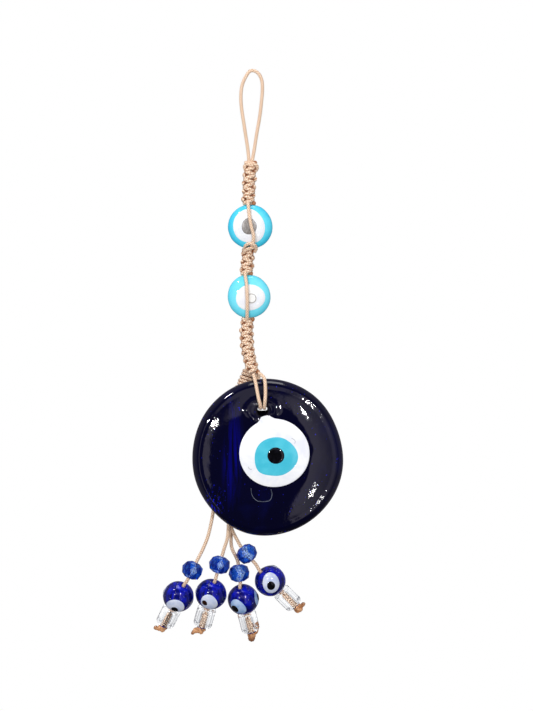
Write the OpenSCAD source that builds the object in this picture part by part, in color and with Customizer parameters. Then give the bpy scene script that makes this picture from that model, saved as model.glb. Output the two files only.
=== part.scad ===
// Evil eye hanging ornament: a knotted waxed cord with two flat eye beads, a large
// cobalt glass disc, and four cord ends that each carry a crystal, an eye bead and a
// clear tube bead. It hangs by its loop. X is to the right, Y is to the back, Z is up,
// and the origin is the inside top of the hanging loop.

/* [Cord] */
// Diameter of the waxed cord
cord_d = 1.1; // [0.9:0.05:1.35]
// Height of the hanging loop, from its inside top to where it enters the knots
loop_len = 28.5; // [22:0.5:60]
// Inside width of the hanging loop at its widest
loop_w = 6; // [4:0.5:14]

/* [Knotting] */
// Length of the knotting above the first flat bead
upper_len = 13; // [9:0.5:24]
// Number of knots above the first flat bead
upper_knots = 5; // [3:1:9]
// Length of the knotting between the flat beads
middle_len = 7.6; // [5:0.2:14]
// Number of knots between the flat beads
middle_knots = 3; // [2:1:6]
// Length of the knotting between the second flat bead and the disc
lower_len = 17; // [11:0.5:28]
// Number of knots between the second flat bead and the disc
lower_knots = 7; // [4:1:11]
// Width of the knotting
knot_w = 4.2; // [3.4:0.1:5.2]
// Thickness of the knotting from front to back
knot_t = 3; // [2.4:0.1:3.8]

/* [Flat beads] */
// Diameter of the first flat bead
first_bead_d = 14.2; // [11:0.2:20]
// Diameter of the second flat bead
second_bead_d = 13.8; // [11:0.2:20]
// Thickness of a flat bead at its middle
flat_bead_t = 5; // [4.2:0.1:7]
// Diameter of the white patch on a flat bead
flat_white_d = 9.6; // [7:0.2:10.5]
// Diameter of the pupil on a flat bead
flat_pupil_d = 4.8; // [3:0.2:6.5]

/* [Disc] */
// Diameter of the glass disc
disc_d = 49.6; // [40:0.2:62]
// Thickness of the glass disc at its middle
disc_t = 7.5; // [6.5:0.1:10]
// Radius of the round edge of the glass disc
disc_edge_r = 3.1; // [2.4:0.1:3.2]
// Diameter of the hole that the cord passes through
hole_d = 3.6; // [3.2:0.1:5]
// Distance from the top edge of the disc to the middle of the hole
hole_inset = 10; // [8:0.5:12]
// Diameter of the white glass on the disc
white_d = 22.4; // [18:0.2:24]
// Diameter of the light blue glass on the disc
iris_d = 13.4; // [10:0.2:16]
// Diameter of the black glass on the disc
pupil_d = 5.2; // [4:0.2:8]

/* [Gathering knot] */
// Diameter of the wrapped cord that gathers the strands
wrap_d = 4.8; // [4:0.2:6]
// Length of the wrapped cord that gathers the strands
wrap_len = 9; // [6:0.5:12]
// Number of turns in the gathering wrap
wrap_turns = 7; // [4:1:9]

/* [Cord ends] */
// Diameter of a faceted crystal
crystal_d = 6.3; // [4.5:0.1:6.4]
// Height of a faceted crystal along its cord
crystal_h = 5.2; // [3.6:0.1:5.6]
// Diameter of a round eye bead
eye_bead_d = 9.9; // [7:0.1:10]
// Diameter of a white spot on a round eye bead
eye_spot_d = 5.6; // [3.6:0.1:6]
// Diameter of a pupil on a round eye bead
eye_pupil_d = 2.3; // [1.5:0.1:3]
// Diameter of a clear tube bead
tube_d = 6; // [4.5:0.1:6.4]
// Length of a clear tube bead
tube_len = 6.5; // [4.5:0.1:8]
// Bore of a clear tube bead
tube_bore_d = 2.8; // [2:0.1:3.4]
// Diameter of the knot at the end of a cord
end_knot_d = 3.2; // [2.6:0.1:3.8]

/* [Clearances] */
// Gap between the cord and the bore of a bead, on each side
bore_gap = 0.2; // [0.15:0.05:0.4]
// Gap between neighbouring pieces that move apart
move_gap = 0.35; // [0.3:0.05:0.6]
// How far an inlaid spot of glass stands above the glass around it
inlay_rise = 0.06; // [0.04:0.01:0.12]

/* [Hidden] */
$fn = 72;
tails = [1, 2, 3, 4];

cord_r = cord_d / 2;
touch_gap = 0.05;
// Facets of the shallow domes and small balls, which need more of them
fine_fn = 200;
// Radius of a flat bead's round edge, as a share of its thickness
coin_edge_share = 0.31;
// Glass left between a flat bead's bore and its white, and between its white's floor and pupil's
bore_cover = 0.15;
pupil_step = 0.4;
// Radius of the round ends of a tube bead's wall
tube_edge_r = 0.5;
// Radius of a ridge of the gathering wrap, as a share of the turns' pitch
wrap_ridge_share = 0.62;
// The neck of an end knot: how much wider than the cord, and how long as a share of the knot
neck_extra = 0.4;
neck_share = 0.9;

// Side places of the chain, which hangs a little crooked
upper_ends_x = [-0.9, -1.5];
first_bead_x = -0.9;
middle_ends_x = [-1.6, -2.1];
second_bead_x = -1.3;
lower_ends_x = [-1.9, 0.1];
lower_bow = -0.9;
hole_x = 3;

// Heights down the chain
upper_top = -loop_len - move_gap;
upper_bottom = upper_top - upper_len;
first_bead_pos = [first_bead_x, 0, upper_bottom - move_gap - first_bead_d / 2];
middle_top = first_bead_pos[2] - first_bead_d / 2 - move_gap;
middle_bottom = middle_top - middle_len;
second_bead_pos = [second_bead_x, 0, middle_bottom - move_gap - second_bead_d / 2];
lower_top = second_bead_pos[2] - second_bead_d / 2 - move_gap;
lower_bottom = lower_top - lower_len;

// The disc hangs by its hole. Its back is flat and its front is slightly domed.
hole_drop = 12.4;
// How far the disc hangs to the side of its hole
disc_aside = 1.6;
// How far the eye's middle lies to the side of and above the disc's middle
eye_aside = 2.6;
eye_above = 1.2;
// How far the disc's middle plane lies in front of the cords
disc_forward = 0.25;
hole_pos = [hole_x, 0, lower_bottom - hole_drop];
disc_r = disc_d / 2;
disc_pos = [hole_x + disc_aside, 0, hole_pos[2] + hole_inset - disc_r];
disc_back = disc_t / 2 - disc_forward;
disc_front = disc_back - disc_t;
shoulder_y = disc_back - 2 * disc_edge_r;
disc_foot = disc_pos[2] - disc_r;
eye_pos = disc_pos + [eye_aside, 0, eye_above];
white_rise = 0.85;
// How deep the white's rim is sunk into the disc's front
white_sink = 0.25;
white_rim_y = disc_front + white_sink;
hole_lip_w = 1.4;
hole_lip_rise = 0.1;

// Routes of the free cords. The loop's points are from the origin.
loop_route = [
    [-1.3, 0, -28], [-1.7, 0, -24], [-2.4, 0, -19.5], [-3.1, 0, -15], [-3.7, 0, -11],
    [-3.9, 0, -7.5], [-3.5, 0, -4], [-2.4, 0, -1.4], [-0.9, 0, 0.2], [0.5, 0, 0.5],
    [1.9, 0, -0.5], [2.8, 0, -2.5], [3, 0, -5], [2.7, 0, -9], [2.1, 0, -14],
    [1.2, 0, -19], [0.4, 0, -24], [-0.3, 0, -28]
];
loop_route_w = 6;
loop_route_len = 28;

// The stretch of each tail behind the disc after it leaves the wrap, from the hole's
// height and the disc's back
behind_routes = [
    [[-11.4, 2, -2], [-12.5, 1.4, -10], [-13.8, 1, -18], [-15, 1, -26]],
    [[-9.6, 1.3, -4], [-10, 1.1, -14], [-10.4, 1, -24], [-10.8, 1, -32]],
    [[-9.9, 4.2, -4], [-9.9, 4.4, -14], [-10, 4.5, -24], [-10, 4.5, -32]],
    [[-8.8, 2.7, -4], [-9.3, 2.5, -14], [-9.8, 2.4, -24], [-10.1, 2.4, -30]]
];
// The free stretch of each tail, from the hole's side place, the disc's back and the
// disc's foot. The straight stretches hold the crystal, and the eye and tube beads.
free_routes = [
    [[-16, 1, 6], [-16.7, 1.1, 2.5], [-17.6, 1.3, -1], [-19, 1.5, -4.5],
     [-21, 1.5, -8.5], [-22.5, 1.5, -11.5], [-24.25, 1.5, -15], [-25, 2, -16],
     [-26, 3.5, -18], [-27, 5, -20], [-29, 8, -24], [-31, 11, -28], [-31.5, 11.75, -29]],
    [[-11, 1, 1], [-11.3, 1.2, -1.5], [-12.25, 1.5, -4.5], [-13, 1.5, -7.1],
     [-13.75, 1.5, -9.75], [-14.75, 1.5, -13.25], [-15, 1.6, -14.25],
     [-15.5, 2.5, -15.75], [-16.5, 4.5, -19.25], [-17.5, 6.5, -22.75],
     [-18.5, 8.5, -26.25], [-19.5, 10.5, -29.75], [-19.75, 11, -30.6]],
    [[-10, 4.5, 1], [-10.1, 4.5, -1.5], [-9.8, 4.5, -4.5], [-8, 4.5, -8.5],
     [-7.5, 4.5, -12.5], [-7.1, 4.5, -15.7], [-7.25, 4.5, -17], [-6.75, 5.75, -19],
     [-6.25, 7, -21], [-5.25, 9.5, -25], [-4.25, 12, -29], [-3.75, 13.25, -31]],
    [[-10.2, 2.4, 3], [-9.3, 2.2, 0.5], [-8, 2, -2], [-7, 1.9, -3.8], [-6, 1.9, -5],
     [-5, 1.9, -6.2], [-3, 1.9, -8.6], [-2, 1.9, -9.8], [-1, 1.9, -11.5],
     [0.5, 2.8, -13], [2.5, 4, -15], [5.5, 5.8, -18], [9.5, 8.2, -22], [11, 9.1, -23.5]]
];
// Places on each tail: the route point at the crystal's middle, and that at the eye
// bead's middle, where the cord goes on straight through the tube bead.
crystal_stop = [5, 4, 4, 5];
eye_bead_stop = [9, 8, 8, 10];
// How far each eye bead is turned on its cord
eye_bead_turn = [12, -4, 24, -30];

// The strands that pass through the disc's hole, from the hole and the disc's front.
// The first point is at the knotting, and the last is behind the disc.
hole_strand_routes = [
    [[-2.9, 2.2, 11.8], [-2.2, 0.6, 9.2], [-1.6, -0.9, 6], [-1.1, -1.4, 3.5],
     [-0.75, -1.2, 1.4], [-0.65, -0.2, 0.2], [-0.65, 1.4, 0], [-0.65, 6.6, 0],
     [-0.9, 8.5, 1], [-1.9, 9.2, 4], [-2.55, 10, 8.4]],
    [[-1.1, 2.2, 12.2], [0.5, 0.6, 10.6], [0.9, -0.8, 8.4], [0.95, -1.5, 5],
     [0.8, -1.5, 2.2], [0.65, -0.4, 0.3], [0.65, 1.4, 0], [0.65, 6.6, 0],
     [0.5, 8.5, 1], [-0.6, 9.2, 4.4], [-1.25, 10, 9.05]]
];
wrap_top = hole_pos + [-3.7, disc_back + wrap_d / 2 + move_gap, 13.25];
wrap_dir = unit([-3.7, 0, -8.2]);
wrap_aside = [-wrap_dir[2], 0, wrap_dir[0]];
// Where each tail leaves the wrap, aside and to the back, in cord diameters
wrap_exits = [[-0.56, -0.55], [0.56, -0.55], [-0.56, 0.55], [0.56, 0.55]];
wrap_exit_gap = 0.2;
// How the two straight back strands stand apart, and where they start and end
back_strand_half_gap = 0.7 * cord_d;
back_strand_start = [lower_ends_x[1], knot_t / 2 + cord_r, lower_bottom + 2.4];
back_strand_end = wrap_top + [0.4, -cord_r, cord_r + 0.45];

cord_color = "burlywood";
cobalt = "navy";

// Vectors
function unit(v) = v / norm(v);
// Points along an arc, after its first
function arc(c, r, first, end, n) =
    [for (i = [1 : n]) let (a = first + (end - first) * i / n) c + r * [cos(a), sin(a)]];
function from(origin, route) = [for (p = route) origin + p];

// The direction of a route at point i, and the two sides of a ring there
function heading(r, i) = unit(
    unit(r[min(i + 1, len(r) - 1)] - r[min(i, len(r) - 2)])
    + unit(r[max(i, 1)] - r[max(i - 1, 0)])
);
function side_a(t, ref) = unit(ref - (ref * t) * t);
function side_b(t, ref) = cross(t, side_a(t, ref));

// A plain closed cord along a route. ref is never along the route.
module cord_tube(route, ref = [1, 0, 0]) {
    sides = 8;
    count = len(route);
    rings = [
        for (i = [0 : count - 1])
            let (t = heading(route, i), a = side_a(t, ref), b = side_b(t, ref))
            for (j = [0 : sides - 1])
                let (turn = 360 * (j + 0.5) / sides)
                route[i] + cord_r * (cos(turn) * a + sin(turn) * b)
    ];
    walls = [
        for (i = [0 : count - 2])
            for (j = [0 : sides - 1])
                let (k = (j + 1) % sides)
                for (half = [[0, 1, 2], [0, 2, 3]])
                    let (corner = [i * sides + j, (i + 1) * sides + j,
                                   (i + 1) * sides + k, i * sides + k])
                    [for (c = half) corner[c]]
    ];
    ends = [
        [for (j = [0 : sides - 1]) j],
        [for (j = [sides - 1 : -1 : 0]) (count - 1) * sides + j]
    ];
    polyhedron(points = rings, faces = concat(walls, ends));
}

// Turns what stands along +Z to stand along dir
module along(dir) {
    tilt = acos(dir[2] / norm(dir));
    spin = atan2(dir[1], dir[0]);
    rotate([0, 0, spin]) rotate([0, tilt, 0]) children();
}

// Turns what stands along +Z to face the front, along -Y
module facing_front() {
    rotate([90, 0, 0]) children();
}

// Radius of the two domes of a lens-shaped bead with a round edge of radius edge
function dome_r(d, t, edge) =
    (pow(d / 2 - edge, 2) + pow(t / 2 - edge, 2)) / (2 * (t / 2 - edge));

// Knotting

// A row of square knots from top to bottom, with its middle bowed to the side by bow
function knot_pos(top, bottom, bow, f) = top + f * (bottom - top) + [bow * sin(180 * f), 0, 0];

module sinnet(top, bottom, count, bow = 0) {
    r = knot_w / 2;
    first = top - [0, 0, r];
    end = bottom + [0, 0, r];
    color(cord_color)
        for (i = [0 : count - 1])
            translate(knot_pos(first, end, bow, i / (count - 1)))
                facing_front()
                    cylinder(r = r, h = knot_t, center = true);
}

module hanging_loop() {
    color(cord_color)
        cord_tube(
            [for (p = loop_route)
                [p[0] * loop_w / loop_route_w, p[1],
                 p[2] > 0 ? cord_r : p[2] * loop_len / loop_route_len]],
            ref = [0, 1, 0]
        );
}

module upper_sinnet() {
    sinnet([upper_ends_x[0], 0, upper_top], [upper_ends_x[1], 0, upper_bottom], upper_knots);
}

module middle_sinnet() {
    sinnet(
        [middle_ends_x[0], 0, middle_top],
        [middle_ends_x[1], 0, middle_bottom],
        middle_knots
    );
}

module lower_sinnet() {
    sinnet(
        [lower_ends_x[0], 0, lower_top],
        [lower_ends_x[1], 0, lower_bottom],
        lower_knots,
        bow = lower_bow
    );
}

// Strands at a flat bead

core_spread = 0.9 * cord_d;
// How far a strand's ends lie behind its middle where it goes over a flat bead
strand_sag = 1.7;
core_bore_d = core_spread + cord_d + 2 * bore_gap;

// The two core cords side by side, through a flat bead
module core_cords(pos, d) {
    color(cord_color)
        translate(pos)
            for (side = [-1, 1])
                translate([side * core_spread / 2, 0, 0])
                    cylinder(r = cord_r, h = d + 2 * touch_gap, center = true);
}

// One strand over the front of a flat bead (side 1) or over its back (side -1)
module bead_strand(pos, d, side) {
    peak = flat_bead_t / 2 + move_gap + cord_r;
    half = d / 2 + move_gap / 2;
    bend_r = (half * half + strand_sag * strand_sag) / (2 * strand_sag);
    sweep = asin(half / bend_r);
    color(cord_color)
        translate(pos)
            rotate([0, 0, side > 0 ? -90 : 90])
                translate([peak - bend_r, 0, 0])
                    rotate([90, 0, 0])
                        rotate([0, 0, -sweep])
                            rotate_extrude(angle = 2 * sweep)
                                translate([bend_r, 0])
                                    circle(r = cord_r);
}

// Flat beads

module coin(d, t) {
    edge = coin_edge_share * t;
    r = dome_r(d, t, edge);
    rotate_extrude() {
        intersection() {
            translate([0, t / 2 - r]) circle(r = r, $fn = fine_fn);
            translate([0, r - t / 2]) circle(r = r, $fn = fine_fn);
            translate([0, -t / 2]) square([d / 2 - edge, t]);
        }
        intersection() {
            translate([d / 2 - edge, 0]) circle(r = edge);
            translate([d / 2 - 2 * edge, -t / 2]) square([2 * edge, t]);
        }
    }
}

// A round patch of glass let into both faces of a coin, from floor_y outward
module coin_patches(d, t, patch_d, floor_y, rise) {
    intersection() {
        coin(d + 2 * rise, t + 2 * rise);
        union() {
            translate([0, 0, floor_y]) cylinder(d = patch_d, h = t);
            translate([0, 0, -floor_y - t]) cylinder(d = patch_d, h = t);
        }
    }
}

white_floor = core_bore_d / 2 + bore_cover;
flat_pupil_floor = white_floor + pupil_step;

module flat_bead_glass(pos, d) {
    color("darkturquoise")
        translate(pos)
            difference() {
                facing_front()
                    difference() {
                        coin(d, flat_bead_t);
                        coin_patches(d, flat_bead_t, flat_white_d, white_floor, inlay_rise);
                    }
                cylinder(d = core_bore_d, h = 2 * d, center = true);
            }
}

module flat_bead_white(pos, d) {
    color("white")
        translate(pos)
            facing_front()
                difference() {
                    coin_patches(d, flat_bead_t, flat_white_d, white_floor, inlay_rise);
                    coin_patches(
                        d, flat_bead_t, flat_pupil_d, flat_pupil_floor, 2 * inlay_rise
                    );
                }
}

module flat_bead_pupil(pos, d) {
    color("silver")
        translate(pos)
            facing_front()
                coin_patches(d, flat_bead_t, flat_pupil_d, flat_pupil_floor, 2 * inlay_rise);
}

// Glass disc

module disc_profile() {
    rim = disc_r - disc_edge_r;
    sag = shoulder_y - disc_front;
    dome = (rim * rim + sag * sag) / (2 * sag);
    polygon(concat(
        [[0, -disc_back], [rim, -disc_back]],
        arc([rim, disc_edge_r - disc_back], disc_edge_r, -90, 90, 12),
        arc([0, -disc_front - dome], dome, 90 - asin(rim / dome), 90, 8)
    ));
}

// The eye's glass is round about its own axis, so its outlines stand on that axis,
// with the plane of the white's rim at 0 and forward as up
white_dome_r = (pow(white_d / 2, 2) + white_rise * white_rise) / (2 * white_rise);
function dome_height(x) = white_rise - white_dome_r + sqrt(pow(white_dome_r, 2) - x * x);

// Points over the front dome from x = a to x = b, lifted by rise
function over_dome(a, b, rise, n) =
    [for (i = [0 : n]) let (x = a + (b - a) * i / n) [x, dome_height(x) + rise]];

module white_outline() {
    steps = 10;
    front = over_dome(0, white_d / 2, 0, steps);
    polygon(concat(front, [for (i = [steps - 1 : -1 : 0]) [front[i][0], -front[i][1]]]));
}

// A ring of glass from the rim's plane to the lifted dome
module ring_outline(inner_d, outer_d, rise) {
    polygon(concat(
        [[outer_d / 2, 0], [inner_d / 2, 0]],
        over_dome(inner_d / 2, outer_d / 2, rise, 5)
    ));
}

module at_eye() {
    translate([eye_pos[0], white_rim_y, eye_pos[2]])
        facing_front()
            rotate_extrude()
                children();
}

module hole_cutter() {
    translate([hole_pos[0], 0, hole_pos[2]])
        facing_front()
            cylinder(d = hole_d, h = 4 * disc_t, center = true);
}

module disc_glass() {
    color(cobalt)
        difference() {
            union() {
                translate(disc_pos) facing_front() rotate_extrude() disc_profile();
                translate([hole_pos[0], disc_front + 1, hole_pos[2]])
                    facing_front()
                        cylinder(d = hole_d + 2 * hole_lip_w, h = 1 + hole_lip_rise);
            }
            at_eye() white_outline();
            hole_cutter();
        }
}

module disc_white() {
    color("white")
        difference() {
            at_eye()
                difference() {
                    white_outline();
                    square([iris_d / 2, 2 * white_rise]);
                }
            hole_cutter();
        }
}

module disc_iris() {
    color("skyblue") at_eye() ring_outline(pupil_d, iris_d, inlay_rise);
}

module disc_pupil() {
    color("black") at_eye() ring_outline(0, pupil_d, 2 * inlay_rise);
}

// Strands at the disc

function hole_strand_route(i) =
    from([hole_pos[0], disc_front, hole_pos[2]], hole_strand_routes[i]);

module hole_strand(i) {
    color(cord_color) cord_tube(hole_strand_route(i));
}

// Two straight strands from the back of the knotting to the top of the wrap
module back_strands() {
    color(cord_color)
        for (side = [-1, 1]) {
            aside = [side * back_strand_half_gap, 0, 0];
            start = back_strand_start + aside;
            end = back_strand_end + aside;
            translate(start)
                along(end - start)
                    cylinder(r = cord_r, h = norm(end - start));
        }
}

module gathering_wrap() {
    pitch = wrap_len / wrap_turns;
    coil_r = wrap_ridge_share * pitch;
    color(cord_color)
        translate(wrap_top)
            along(wrap_dir)
                rotate_extrude()
                    intersection() {
                        union() {
                            square([wrap_d / 2 - coil_r / 2, wrap_len]);
                            for (i = [0 : wrap_turns - 1])
                                translate([wrap_d / 2 - coil_r, (i + 0.5) * pitch])
                                    circle(r = coil_r);
                        }
                        square([wrap_d, wrap_len]);
                    }
}

// Cord ends. k counts from 0 in the lists below.

function free_route(k) = from([hole_pos[0], disc_back, disc_foot], free_routes[k]);

// A tail swings about the first point of its free stretch, just below the end of the
// stretch behind the disc
function tail_hinge(k) = free_route(k)[0];
function wrap_exit(k) =
    wrap_top + (wrap_len + wrap_exit_gap) * wrap_dir
    + cord_d * (wrap_exits[k][0] * wrap_aside + [0, wrap_exits[k][1], 0]);
function behind_route(k) = concat(
    [wrap_exit(k)],
    from([hole_pos[0], disc_back, hole_pos[2]], behind_routes[k]),
    [tail_hinge(k) + [0, 0, move_gap]]
);
function crystal_pos(k) = free_route(k)[crystal_stop[k]];
function crystal_dir(k) = unit(free_route(k)[crystal_stop[k] + 1] - crystal_pos(k));
function bead_pos(k) = free_route(k)[eye_bead_stop[k]];
function bead_dir(k) = unit(free_route(k)[eye_bead_stop[k] + 1] - bead_pos(k));
tube_stop = eye_bead_d / 2 + move_gap + tube_len / 2;
function tube_pos(k) = bead_pos(k) + tube_stop * bead_dir(k);
function knot_pos_on(k) =
    bead_pos(k) + (tube_stop + tube_len / 2 + move_gap + end_knot_d / 2) * bead_dir(k);

// A tail's free stretch stops in the middle of its end knot
function tail_route(k) = concat(
    [for (p = free_route(k))
        if ((p - bead_pos(k)) * bead_dir(k) < tube_stop + tube_len / 2) p],
    [knot_pos_on(k)]
);

module cords_behind_disc() {
    color(cord_color)
        for (k = [0 : len(tails) - 1])
            cord_tube(behind_route(k));
}

module tail_cord(k) {
    color(cord_color) cord_tube(tail_route(k));
}

module crystal(k) {
    color("royalblue", 0.6)
        translate(crystal_pos(k))
            along(crystal_dir(k))
                difference() {
                    intersection() {
                        sphere(d = crystal_d);
                        cylinder(d = crystal_d, h = crystal_h, center = true, $fn = 10);
                    }
                    cylinder(d = cord_d + 2 * bore_gap, h = 2 * crystal_d, center = true);
                }
}

// The ball whose overlap with a round eye bead is as wide as d
function ball_r(d) = eye_bead_d * sin(asin(d / eye_bead_d) / 2);

// Puts something at each of the four spots of a round eye bead, facing out along +Z
module at_spots(k) {
    for (i = [0 : 3])
        rotate([0, 0, 90 * i + eye_bead_turn[k] - 90])
            translate([eye_bead_d / 2, 0, 0])
                rotate([0, 90, 0])
                    children();
}

// Half of a spot's outline: within its ball and under the bead's surface, lifted by rise
module spot_outline(d, rise) {
    intersection() {
        circle(r = ball_r(d), $fn = fine_fn);
        translate([0, -eye_bead_d / 2])
            circle(r = eye_bead_d / 2 + rise, $fn = fine_fn);
        translate([0, -d]) square([d, 2 * d]);
    }
}

module place_bead(k) {
    translate(bead_pos(k)) along(bead_dir(k)) rotate([0, 0, 180]) children();
}

module eye_bead(k) {
    color(cobalt)
        place_bead(k)
            difference() {
                sphere(d = eye_bead_d, $fn = fine_fn);
                at_spots(k) sphere(r = ball_r(eye_spot_d), $fn = fine_fn);
                cylinder(d = cord_d + 3 * bore_gap, h = 2 * eye_bead_d, center = true);
            }
}

module eye_spots(k) {
    color("white")
        place_bead(k)
            at_spots(k)
                rotate_extrude()
                    difference() {
                        spot_outline(eye_spot_d, inlay_rise);
                        circle(r = ball_r(eye_pupil_d), $fn = fine_fn);
                    }
}

module eye_pupils(k) {
    color("black")
        place_bead(k)
            at_spots(k)
                rotate_extrude()
                    spot_outline(eye_pupil_d, 2 * inlay_rise);
}

module tube_bead(k) {
    edge = tube_edge_r;
    wall_in = tube_bore_d / 2 + edge;
    wall_out = tube_d / 2 - edge;
    color("lightcyan", 0.5)
        translate(tube_pos(k))
            along(bead_dir(k))
                rotate_extrude()
                    union() {
                        translate([wall_in, -tube_len / 2])
                            square([wall_out - wall_in, tube_len]);
                        translate([tube_bore_d / 2, edge - tube_len / 2])
                            square([tube_d / 2 - tube_bore_d / 2, tube_len - 2 * edge]);
                        for (x = [wall_in, wall_out], side = [-1, 1])
                            translate([x, side * (tube_len / 2 - edge)])
                                circle(r = edge);
                    }
}

module end_knot(k) {
    dir = bead_dir(k);
    color("peru")
        translate(knot_pos_on(k))
            along(dir)
                difference() {
                    union() {
                        sphere(d = end_knot_d);
                        cylinder(d = cord_d + neck_extra, h = neck_share * end_knot_d);
                    }
                    translate([0, 0, -end_knot_d])
                        cylinder(d = cord_d + 2 * touch_gap, h = end_knot_d);
                }
}

hanging_loop();
upper_sinnet();
core_cords(first_bead_pos, first_bead_d);  // upper_core_cords
bead_strand(first_bead_pos, first_bead_d, 1);  // upper_front_strand
bead_strand(first_bead_pos, first_bead_d, -1);  // upper_back_strand
flat_bead_glass(first_bead_pos, first_bead_d);  // first_bead_glass
flat_bead_white(first_bead_pos, first_bead_d);  // first_bead_white
flat_bead_pupil(first_bead_pos, first_bead_d);  // first_bead_pupil
middle_sinnet();
core_cords(second_bead_pos, second_bead_d);  // lower_core_cords
bead_strand(second_bead_pos, second_bead_d, 1);  // lower_front_strand
bead_strand(second_bead_pos, second_bead_d, -1);  // lower_back_strand
flat_bead_glass(second_bead_pos, second_bead_d);  // second_bead_glass
flat_bead_white(second_bead_pos, second_bead_d);  // second_bead_white
flat_bead_pupil(second_bead_pos, second_bead_d);  // second_bead_pupil
lower_sinnet();
hole_strand(0);  // hole_strand_left
hole_strand(1);  // hole_strand_right
back_strands();
gathering_wrap();
cords_behind_disc();
disc_glass();
disc_white();
disc_iris();
disc_pupil();
for (k = tails) {
    tail_cord(k - 1);
    crystal(k - 1);
    eye_bead(k - 1);
    eye_spots(k - 1);
    eye_pupils(k - 1);
    tube_bead(k - 1);
    end_knot(k - 1);
}
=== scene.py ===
import math
import random

import bmesh
import bpy
import numpy as np
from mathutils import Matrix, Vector, bvhtree, geometry, noise


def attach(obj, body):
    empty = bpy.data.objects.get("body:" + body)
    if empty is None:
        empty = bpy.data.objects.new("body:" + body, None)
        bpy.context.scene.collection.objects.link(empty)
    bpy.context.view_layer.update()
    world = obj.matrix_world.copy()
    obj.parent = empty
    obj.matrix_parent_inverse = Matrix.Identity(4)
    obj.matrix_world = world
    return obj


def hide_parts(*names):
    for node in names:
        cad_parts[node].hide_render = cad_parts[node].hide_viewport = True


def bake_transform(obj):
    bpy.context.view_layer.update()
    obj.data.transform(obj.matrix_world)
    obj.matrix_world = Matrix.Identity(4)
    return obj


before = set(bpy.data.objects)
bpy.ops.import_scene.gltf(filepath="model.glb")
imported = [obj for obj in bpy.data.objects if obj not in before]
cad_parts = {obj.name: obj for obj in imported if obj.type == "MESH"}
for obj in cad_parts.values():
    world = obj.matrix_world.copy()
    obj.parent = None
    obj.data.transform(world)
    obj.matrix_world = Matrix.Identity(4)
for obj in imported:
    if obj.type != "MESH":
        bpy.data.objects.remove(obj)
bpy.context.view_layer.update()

MM = 0.001
scene = bpy.context.scene


# ---------------------------------------------------------------- camera

VIEW_CENTRE = (0.0043, 0.0, -0.0905)
VIEW_HEIGHT = 0.2275
VIEW_DISTANCE = 2.5

camera_data = bpy.data.cameras.new("camera")
camera_data.sensor_width = 36
camera_data.lens = camera_data.sensor_width * VIEW_DISTANCE / VIEW_HEIGHT
camera = bpy.data.objects.new("camera", camera_data)
camera.location = (VIEW_CENTRE[0], -VIEW_DISTANCE, VIEW_CENTRE[2])
camera.rotation_euler = (math.radians(90), 0, 0)
scene.collection.objects.link(camera)
scene.camera = camera


# ---------------------------------------------------------------- routes, in millimetres as in the CAD

CORD_D = 1.1
CORD_R = CORD_D / 2
LOOP_LEN = 28.5
LOOP_DRAWN_LEN = 28.0
LOOP_STRETCH = LOOP_LEN / LOOP_DRAWN_LEN
DISC_BACK = 3.5
DISC_FRONT = -4.0
HOLE = (3.0, -108.25)
DISC_FOOT = -147.85
MOVE_GAP = 0.35
TUBE_STOP = 8.55
TUBE_LEN = 6.5
END_KNOT_R = 1.6
END_KNOT_STEP = TUBE_LEN / 2 + MOVE_GAP + END_KNOT_R

LOOP_ROUTE = [
    (-1.3, 0, -28), (-1.7, 0, -24), (-2.4, 0, -19.5), (-3.1, 0, -15), (-3.7, 0, -11),
    (-3.9, 0, -7.5), (-3.5, 0, -4), (-2.4, 0, -1.4), (-0.9, 0, 0.2), (0.5, 0, 0.5),
    (1.9, 0, -0.5), (2.8, 0, -2.5), (3, 0, -5), (2.7, 0, -9), (2.1, 0, -14),
    (1.2, 0, -19), (0.4, 0, -24), (-0.3, 0, -28),
]
BEHIND_ROUTES = [
    [(-8.04, 2.145, 5.12), (-11.4, 2, -2), (-12.5, 1.4, -10), (-13.8, 1, -18), (-15, 1, -26)],
    [(-6.92, 2.145, 4.61), (-9.6, 1.3, -4), (-10, 1.1, -14), (-10.4, 1, -24), (-10.8, 1, -32)],
    [(-8.04, 3.355, 5.12), (-9.9, 4.2, -4), (-9.9, 4.4, -14), (-10, 4.5, -24), (-10, 4.5, -32)],
    [(-6.92, 3.355, 4.61), (-8.8, 2.7, -4), (-9.3, 2.5, -14), (-9.8, 2.4, -24), (-10.1, 2.4, -30)],
]
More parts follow.
